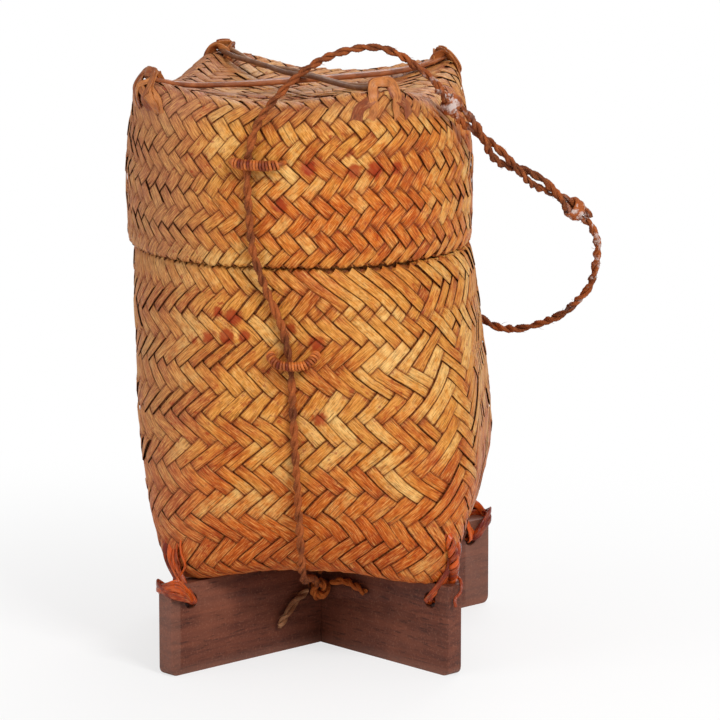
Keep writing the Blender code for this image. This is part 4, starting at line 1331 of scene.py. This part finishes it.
class RICEBASKET_OT_cords(bpy.types.Operator):
    """Twist the two lengths of carrying cord, with their splice, bindings, knot and tails"""
    bl_idname = "ricebasket.cords"
    bl_label = "Carrying cord"

    def execute(self, context):
        front, back, guide, total = cord_lines()
        look = twine_look("twine", srgb(198, 102, 36), srgb(146, 62, 20))
        worn_look = twine_look("twine_worn", srgb(174, 88, 38), srgb(106, 48, 22), worn=0.80)

        def worn(point):
            return max(0.0, 1.0 - min(abs(point.x - 0.052), abs(point.x - 0.112)) / 0.012)

        for name, points, seed in (("front", front, 3), ("back", back, 4)):
            item = rope("cord_" + name, points, CORD, sizes().rope_lay, seed, worn, CORD_HAIRS)
            item.data.materials.append(worn_look)
            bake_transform(item)
            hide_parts("carry_cord_" + name)
        fine = even_points(guide, 401)
        inset = SPLICE_RAMP + BINDING_LENGTH
        for name, distance in (("upper", inset), ("lower", total - inset)):
            item = self.binding(name, fine, round(distance / total * 400))
            dress(item, worn_look, "lid", "twine", "splice_binding_" + name)
        knot, tails = self.knot(look)
        tuple(front[0])
        route_length(front)
        [tuple(p) for p in front]
        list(tails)
        tuple(back[0])
        route_length(back)
        [tuple(p) for p in back]
        return {"FINISHED"}

    @staticmethod
    def binding(name, fine, index):
        """Thread wound round the two cords, over a reach of the fine line's points."""
        radius = CORD + SPLICE_GAP / 2 + GAP
        turns, per, reach = 11, 14, 16
        line = []
        for step in range(turns * per + 1):
            share = step / (turns * per)
            centre, up, out = upright(fine, index - reach / 2 + reach * share)
            turn = WHOLE * share * turns
            swell = 1.0 + 0.08 * math.sin(7.3 * share + index) - 0.16 * abs(2 * share - 1) ** 3
            line.append(centre + radius * swell * (math.cos(turn) * up + 0.82 * math.sin(turn) * out))
        form = Form()
        form.tube(line, round_section(SPLICE_THREAD / 2, 8), (0.5, 0.9, 0.0))
        return form.make("binding_" + name)

    @staticmethod
    def knot(look):
        """A half hitch drawn tight at the cross, and its two frayed ends."""
        line = []
        for step in range(97):
            turn = WHOLE * 2 * step / 96
            radius = 0.0021 + 0.0008 * math.cos(1.5 * turn)
            line.append(Vector(KNOT_PLACE) + Vector((
                radius * math.cos(turn) * 1.1,
                0.0018 * math.sin(1.5 * turn),
                radius * 1.5 * math.sin(turn) - 0.001,
            )))
        knot = rope("knot", line, KNOT_CORD, KNOT_LAY, 8, hairs=KNOT_HAIRS)
        dress(knot, look, "basket", "twine", "cord_knot")
        pale = twine_look("twine_pale", srgb(178, 128, 92), srgb(126, 78, 50))
        tails = []
        for name, route, seed, colour in (
            ("right", RIGHT_TAIL_ROUTE, 5, look), ("left", LEFT_TAIL_ROUTE, 6, pale),
        ):
            line = smooth_route(route, FINE_SPACING)
            tail = rope("tail_" + name, line, TAIL, TAIL_LAY, seed, hairs=TAIL_HAIRS)
            tails.append(dress(tail, colour, "basket", "twine", "cord_tail_" + name))
        return knot, tails


class RICEBASKET_OT_foot(bpy.types.Operator):
    """Ease the edges of the two planks of the foot and give them old wood"""
    bl_idname = "ricebasket.foot"
    bl_label = "Foot"

    def execute(self, context):
        for name, turn in (("lower", -math.pi / 4), ("upper", math.pi / 4)):
            data = bpy.data.objects["foot_plank_" + name].data.copy()
            plank = bpy.data.objects.new("plank_" + name, data)
            context.scene.collection.objects.link(plank)
            deselect()
            plank.select_set(True)
            context.view_layer.objects.active = plank
            bpy.ops.object.mode_set(mode="EDIT")
            bpy.ops.mesh.select_all(action="SELECT")
            bpy.ops.mesh.remove_doubles(threshold=0.000005)
            bpy.ops.mesh.dissolve_limited(angle_limit=math.radians(1.0))
            bpy.ops.object.mode_set(mode="OBJECT")
            bevel = plank.modifiers.new("eased", "BEVEL")
            bevel.width = PLANK_EASE
            bevel.segments = 3
            bevel.limit_method = "ANGLE"
            bevel.angle_limit = math.radians(40)
            bpy.ops.object.modifier_apply(modifier="eased")
            data.shade_smooth()
            data.set_sharp_from_angle(angle=math.radians(25))
            look = wood_look("wood_" + name, turn, PLANK_REACH[name])
            dress(plank, look, "basket", "foot_wood", "foot_plank_" + name)
        return {"FINISHED"}


class RICEBASKET_OT_body(bpy.types.Operator):
    """Plait the body's outer and inner walls"""
    bl_idname = "ricebasket.body"
    bl_label = "Body walls"

    def execute(self, context):
        stains = on_front(-0.004, (
            (-0.0325, 0.1514, 0.0042), (-0.0387, 0.1528, 0.0026), (-0.0473, 0.1406, 0.0034),
            (-0.0426, 0.1421, 0.0034), (-0.0350, 0.1433, 0.0038), (-0.0280, 0.1439, 0.0030),
            (-0.0092, 0.1473, 0.0044), (0.0012, 0.1408, 0.0044), (-0.0569, 0.1315, 0.0040),
            (-0.0521, 0.1274, 0.0034), (0.0024, 0.1103, 0.0042), (-0.0179, 0.1129, 0.0022),
            (0.0244, 0.0948, 0.0042), (0.0280, 0.1007, 0.0044), (0.0188, 0.1031, 0.0030),
        ))
        outer = plait("body_plait", outer_wall(), body_bands, sizes().strip_fill, 11)
        look = strip_look("strips_body", body_warmth, body_grey_and_shade, stains)
        dress(outer, look, "basket", "outer_weave", "body_outer_basket")
        inner = plait("body_lining", inner_wall(), bands(True), sizes().lining_fill, 12, PLAIN)
        look = strip_look("strips_lining", lid_warmth, lid_grey_and_shade, dull=0.25)
        dress(inner, look, "basket", "inner_weave", "body_inner_basket")
        return {"FINISHED"}


class RICEBASKET_OT_lid(bpy.types.Operator):
    """Plait the lid's outer and inner walls"""
    bl_idname = "ricebasket.lid"
    bl_label = "Lid walls"

    def execute(self, context):
        outer = plait("lid_plait", lid_wall(), bands(True, rows=2), sizes().strip_fill, 21)
        look = strip_look("strips_lid", lid_warmth, lid_grey_and_shade, on_front(LID_X, (
            (-0.0352, 0.2267, 0.0034), (-0.0418, 0.2275, 0.0028), (-0.0131, 0.1977, 0.0040),
            (-0.0015, 0.2127, 0.0044), (-0.0257, 0.1864, 0.0022), (0.0168, 0.2109, 0.0040),
            (0.0156, 0.2186, 0.0030), (0.0251, 0.2112, 0.0044), (0.0341, 0.2116, 0.0036),
        )))
        dress(outer, look, "lid", "lid_weave", "lid_outer_basket")
        inner = plait("lid_lining", lid_lining(), bands(False), sizes().lining_fill, 22, PLAIN)
        look = strip_look("strips_lid_lining", lid_warmth, lid_grey_and_shade, dull=0.2)
        dress(inner, look, "lid", "lid_lining", "lid_inner_basket")
        return {"FINISHED"}


class RICEBASKET_OT_rings(bpy.types.Operator):
    """Wind the four cane rings that hold the cord"""
    bl_idname = "ricebasket.rings"
    bl_label = "Cord rings"

    def execute(self, context):
        look = cane_look("cane_wound", srgb(216, 118, 48), srgb(112, 32, 9), srgb(40, 10, 4))
        body_place = (RING_ANGLE_BODY, RIM_Z - BODY_RING_DROP, BODY_RING_SPAN, BODY_RING_SAG)
        lid_place = (RING_ANGLE_LID, LID_RIM_Z + LID_RING_RISE, LID_RING_SPAN, LID_RING_SAG)
        for name, body, wall, place, radius, thread, wound in (
            ("body", "basket", outer_wall(), body_place, BODY_RING_CORE, BODY_RING_THREAD, slice(3, -4)),
            ("lid", "lid", lid_wall(), lid_place, LID_RING_CORE, LID_RING_THREAD, slice(12, -11)),
        ):
            for seed, side in enumerate(("front", "back")):
                core = self.core(wall, seed * math.pi, *place)
                node = f"{name}_ring_{side}"
                form = Form()
                form.tube(core, round_section(radius), (0.4, 0.5, 0.2))
                add_winding(form, core[wound], radius, thread, 30 + seed)
                dress(form.make("wound_" + node), look, body, "cane", node, node + "_winding")
        return {"FINISHED"}

    @staticmethod
    def core(wall, turn_round, angle, height, span, sag):
        """The belt loop's middle line, its ends sunk in the wall."""
        angle = angle + turn_round
        stand = CORD + 6 * GAP + RING_WIRE + RING_CANE / 2
        middle = wall.at(angle, height)
        radius = math.hypot(middle.x - wall.centre(height), middle.y)
        line = []
        for step in range(41):
            turn = math.pi * step / 40
            across = math.copysign(abs(math.cos(turn)) ** 0.6, math.cos(turn))
            out = stand * math.sin(turn) ** 0.6 - 0.0005
            point = wall.at(angle + across * span / 2 / radius, height, out)
            point.z -= sag * math.sin(turn) ** 2
            line.append(point)
        return even_points(line, 61)


class RICEBASKET_OT_stays(bpy.types.Operator):
    """Lay the crossed canes over the lid's hollow top and tie their ends with ears of cane"""
    bl_idname = "ricebasket.stays"
    bl_label = "Stays and ears"

    def execute(self, context):
        cane = cane_look("cane_stay", srgb(172, 98, 54), srgb(116, 58, 32), srgb(58, 26, 14))
        thin = cane_look("cane_thin", srgb(150, 102, 68), srgb(104, 62, 40), srgb(48, 26, 16))
        wall = lid_wall()
        top = LID_RIM_Z + LID_HEIGHT
        reach = LID_TOP_CORNER - STAY_INSET
        half = THICK_STAY_THICKNESS / 2
        low = top + STAY_LIFT
        points = self.stay_points(math.radians(-135), reach, low, top + LID_PEAK + GAP + half)
        form = Form()
        strand(form, points, [UP] * len(points), THICK_STAY_WIDTH, THICK_STAY_THICKNESS, 41, 0.05)
        dress(form.make("stay_thick"), cane, "lid", "cane", "lid_stay_thick")
        over = low + half + GAP + THIN_STAY / 2
        ends = top + LID_PEAK + GAP + THIN_STAY / 2 + THIN_STAY_LIFT
        line = self.stay_points(math.radians(-45), reach, over, ends)
        for name, sign in (("left", -1), ("right", 1)):
            form = Form()
            form.tube(self.wavy(line, sign), round_section(THIN_STAY / 2), (0.5 + 0.3 * sign, 0.5, 0.0))
            dress(form.make("stay_thin_" + name), thin, "lid", "dark_cane", "lid_stay_thin_" + name)
        look = cane_look("cane_ear", srgb(190, 116, 58), srgb(132, 62, 28), srgb(56, 22, 9))
        for seed, (name, (angle, _)) in enumerate(CORNERS.items()):
            ear = self.ear(wall, name, angle, reach - EAR_INSET, 50 + 10 * seed)
            dress(ear, look, "lid", "cane", "lid_ear_" + name)
        return {"FINISHED"}

    @staticmethod
    def stay_points(angle, reach, low, high):
        return smooth_route([
            lid_point(angle, share * reach, low + (high - low) * abs(share) ** 5)
            for share in (-1.0, -0.88, -0.70, -0.31, 0.0, 0.31, 0.70, 0.88, 1.0)
        ], 0.0015)

    @staticmethod
    def wavy(line, sign):
        """One of the two thin canes, which wander a little beside each other."""
        out = []
        for index, (point, (_, side, up)) in enumerate(zip(line, frames(line))):
            share = index / (len(line) - 1)
            sway = 0.0006 * math.sin(9 * share + sign) + 0.0004 * math.sin(23 * share - 2 * sign)
            lift = 0.0005 * math.sin(14 * share + 2 * sign)
            out.append(point + (sign * THIN_STAY_SPACING / 2 + sway) * side + lift * up)
        return out

    @staticmethod
    def ear(wall, name, angle, reach, seed):
        """Flat strands over a raised corner, with a turn or two round the stay's end."""
        top = LID_RIM_Z + LID_HEIGHT
        thick = name in ("front_left", "back_right")
        stay = THICK_STAY_THICKNESS if thick else THIN_STAY
        wide = THICK_STAY_WIDTH / 2 if thick else (THIN_STAY_SPACING + THIN_STAY) / 2
        crown = top + LID_PEAK + GAP + stay + EAR_SLACK + GAP + EAR_CANE / 2 - EAR_SINK
        swing = (wide + EAR_CANE / 2 + 2 * GAP) / reach
        centre = Vector((LID_X, 0.0, LID_RIM_Z + 0.5 * LID_HEIGHT))
        form = Form()

        def lay(route, width, number):
            points = smooth_route(route, 0.0008)
            ups = [(point - centre).normalized() for point in points]
            strand(form, points, ups, width, EAR_STRAP, seed + number)

        def over(share, out, rise):
            return lid_point(angle + share * swing, reach + out, crown + rise)

        def outside(turn, drop, out):
            return wall.at(angle + LID_TURN + turn, top - drop, out)

        turns = ((0.95, 0.0, 0.0042), (0.45, 0.35, 0.0036), (0.70, -0.3, 0.0030), (0.20, 0.1, 0.0028))
        if name == "front_right":
            turns = ((1.00, -0.2, 0.0050), (0.45, 0.5, 0.0044))
        for index, (spread, slip, width) in enumerate(turns):
            lift = 0.0005 * index
            halves = []
            for sign in (1, -1):
                leg = sign * spread * EAR_SPREAD
                crossed = -sign if index > 1 else sign
                halves.append([
                    over(crossed * 0.75, 0.002 * slip, lift - EAR_SLACK),
                    over(sign, EAR_LEAN, lift - EAR_SLACK - EAR_CANE / 2),
                    outside(sign * 1.2 * swing, 0.0020, 0.0014 + lift),
                    outside(leg, 0.0044, 0.0011 + lift),
                    outside(leg + sign * 0.02, 0.0075, 0.0004),
                    outside(leg + sign * 0.03, 0.0095, -0.0012),
                ])
            lay([*reversed(halves[0]), over(0.0, 0.004 * slip, lift), *halves[1]], width, index)
        for index, sign in enumerate(() if name == "front_right" else (1, -1)):
            leg = sign * (0.9 - 0.6 * index) * EAR_SPREAD
            lay([
                outside(leg, 0.0085, -0.0010), outside(leg, 0.0060, 0.0018),
                outside(0.0, 0.0016, 0.0026 + 0.0008 * index),
                over(-0.8 * sign, EAR_LEAN + 0.0012, -0.0024), over(-0.9 * sign, -0.0010, 0.0003),
                over(-0.2 * sign, -0.0040, -0.0016), over(0.4 * sign, -0.0052, -0.0052),
            ], 0.0034 - 0.0004 * index, 7 + index)
        return form.make("ear_" + name)


class RICEBASKET_OT_lashings(bpy.types.Operator):
    """Tie the body's corners to the foot with split cane"""
    bl_idname = "ricebasket.lashings"
    bl_label = "Lashings"

    def execute(self, context):
        look = cane_look("cane_tie", srgb(204, 84, 22), srgb(110, 26, 8), srgb(36, 8, 4), gloss=0.25)
        wall = outer_wall()
        for seed, (name, (angle, reach)) in enumerate(CORNERS.items()):
            form = Form()
            for index in range(6):
                self.loop(form, wall, angle, reach, index, 70 + 20 * seed + index)
            if name == "front_right":
                self.twist(form, wall, angle, reach)
            else:
                for index in range(6):
                    self.wrap(form, angle, reach, index, 170 + 20 * seed + index)
            dress(form.make("lashed_" + name), look, "basket", "lashing_cane", "lashing_" + name)
        return {"FINISHED"}

    @staticmethod
    def loop(form, wall, angle, reach, index, seed):
        """One strand from the plank's hole up outside the body's corner and in through the wall."""
        rng = np.random.default_rng(seed)
        sign = 1 if index % 2 else -1
        level = index // 2
        along, side = corner_ways(angle)
        hole = along * (reach - TIE_HOLE_FROM_END + 0.0011 * (level - 1))
        hole.z = PLANK_HEIGHT - TIE_HOLE_BELOW_TOP + 0.0007 * (level - 1)
        clear = PLANK_THICKNESS / 2 + 0.0010
        entry = PLANK_HEIGHT + TIE_ENTRY_HEIGHT + 0.0014 * level + 0.0012 * rng.random()
        spread = (0.0030 + 0.0021 * (1 - level)) / BASE_CORNER
        middle = angle - BODY_TURN / 2
        if sign > 0 and math.cos(angle) < 0.0:
            spread -= 0.0095 / BASE_CORNER
        low = wall.at(middle + sign * spread, PLANK_HEIGHT + TIE_START_HEIGHT + 0.003, 0.0017)
        start = hole + sign * side * clear
        knee = start.lerp(low, 0.45) + sign * 0.0007 * side + along * 0.0010
        points = smooth_route([
            hole - sign * side * 0.002, start, knee, low,
            wall.at(middle + sign * spread, entry - 0.002, 0.0015),
            wall.at(middle + sign * 0.95 * spread, entry + 0.0012, 0.0002),
            wall.at(middle + sign * 0.85 * spread, entry + 0.0026, -0.0018),
        ], TIE_SPACING)
        outward = (along * 0.8 + sign * side * 0.6).normalized()
        ups = [
            (sign * side * (1 - share) + outward * share).normalized()
            for share in (place / (len(points) - 1) for place in range(len(points)))
        ]
        strand(form, points, ups, LOOP_WIDTH, TIE_THICKNESS, seed)

    @staticmethod
    def wrap(form, angle, reach, index, seed):
        """One turn of cane through the hole and round the plank's end."""
        along, side = corner_ways(angle)
        step = 0.0006 * (index % 3)
        clear = PLANK_THICKNESS / 2 + 0.0007 + step
        near, far = reach - TIE_HOLE_FROM_END, reach - 0.0004 + step
        middle = 0.5 * (near + far)
        top = 0.0132 if math.cos(angle) > 0.0 else 0.0092
        rise = top * (1.0 - 0.12 * index)
        fall = top * (0.35 + 0.10 * index)
        points = smooth_route([
            along * a + side * b + UP * (PLANK_HEIGHT - TIE_HOLE_BELOW_TOP + c) for a, b, c in (
                (near, 0.0, 0.0), (near + 0.001, clear, 0.1 * rise),
                (middle, clear + 0.0009, 0.65 * rise), (far - 0.0020, clear + 0.0003, rise),
                (far, 0.55 * clear, 0.80 * rise + 0.22 * fall),
                (far, -0.55 * clear, 0.22 * rise + 0.80 * fall),
                (far - 0.0020, -clear - 0.0003, fall), (middle, -clear - 0.0009, 0.65 * fall),
                (near + 0.001, -clear, 0.1 * fall), (near, 0.0, 0.0),
            )
        ], TIE_SPACING)
        ups = [(Vector((point.x, point.y, 0.0)) - along * middle).normalized() for point in points]
        strand(form, points, ups, WRAP_WIDTH, TIE_THICKNESS, seed)

    @staticmethod
    def twist(form, wall, angle, reach):
        """A bunch of strands twisted together down the corner, with one end curling away."""
        along, side = corner_ways(angle)
        knot = along * (reach - 0.006) + UP * (PLANK_HEIGHT + 0.0014)
        guide = smooth_route([*(
            wall.at(angle - BODY_TURN / 2 - back, PLANK_HEIGHT + height, out) for back, height, out in (
                (0.09, 0.026, -0.0032), (0.085, 0.021, 0.0016),
                (0.06, 0.015, 0.0030), (0.02, 0.007, 0.0034),
            )
        ), knot], FINE_SPACING)
        around = frames(guide)
        for number in range(3):
            run = 0.0
            ups = []
            for index, (_, across, up) in enumerate(around):
                if index:
                    run += (guide[index] - guide[index - 1]).length
                turn = WHOLE * run / TWIST_LAY + number * WHOLE / 3
                ups.append(math.cos(turn) * across + math.sin(turn) * up)
            line = [point + TWIST_RADIUS * out for point, out in zip(guide, ups)]
            strand(form, line, ups, TWIST_WIDTH, TWIST_THICKNESS, 300 + number)
        curl = smooth_route([
            along * (reach - 0.002 + a) + side * b + UP * (PLANK_HEIGHT + c) for a, b, c in (
                (-0.0040, 0.0030, 0.0016), (0.0012, 0.0034, 0.0022), (0.0040, 0.0016, -0.0022),
                (0.0036, -0.0014, -0.0052), (0.0052, -0.0026, -0.0080),
            )
        ], FINE_SPACING)
        form.tube(curl, round_section(CURL_RADIUS, 8), (0.8, 0.5, 0.0))


class RICEBASKET_PT_panel(bpy.types.Panel):
    bl_idname = "RICEBASKET_PT_panel"
    bl_label = "Sticky rice basket"
    bl_space_type = "VIEW_3D"
    bl_region_type = "UI"
    bl_category = "Basket"

    def draw(self, context):
        layout = self.layout
        for group in (context.scene.rice_basket_sizes, context.scene.rice_basket_colours):
            for name in group.__annotations__:
                layout.prop(group, name)
        for operator in OPERATORS:
            layout.operator(operator.bl_idname)


OPERATORS = (
    RICEBASKET_OT_stage,
    RICEBASKET_OT_cords,
    RICEBASKET_OT_foot,
    RICEBASKET_OT_body,
    RICEBASKET_OT_lid,
    RICEBASKET_OT_rings,
    RICEBASKET_OT_stays,
    RICEBASKET_OT_lashings,
)
GROUPS = (RiceBasketSizes, RiceBasketColours)


def register():
    for item in (*GROUPS, *OPERATORS, RICEBASKET_PT_panel):
        bpy.utils.register_class(item)
    bpy.types.Scene.rice_basket_sizes = bpy.props.PointerProperty(type=RiceBasketSizes)
    bpy.types.Scene.rice_basket_colours = bpy.props.PointerProperty(type=RiceBasketColours)


def unregister():
    del bpy.types.Scene.rice_basket_sizes
    del bpy.types.Scene.rice_basket_colours
    for item in reversed((*GROUPS, *OPERATORS, RICEBASKET_PT_panel)):
        bpy.utils.unregister_class(item)


def main():
    register()
    bpy.ops.ricebasket.stage()
    bpy.ops.ricebasket.cords()
    bpy.ops.ricebasket.foot()
    bpy.ops.ricebasket.body()
    bpy.ops.ricebasket.lid()
    bpy.ops.ricebasket.rings()
    bpy.ops.ricebasket.stays()
    bpy.ops.ricebasket.lashings()


if __name__ == "__main__":
    main()
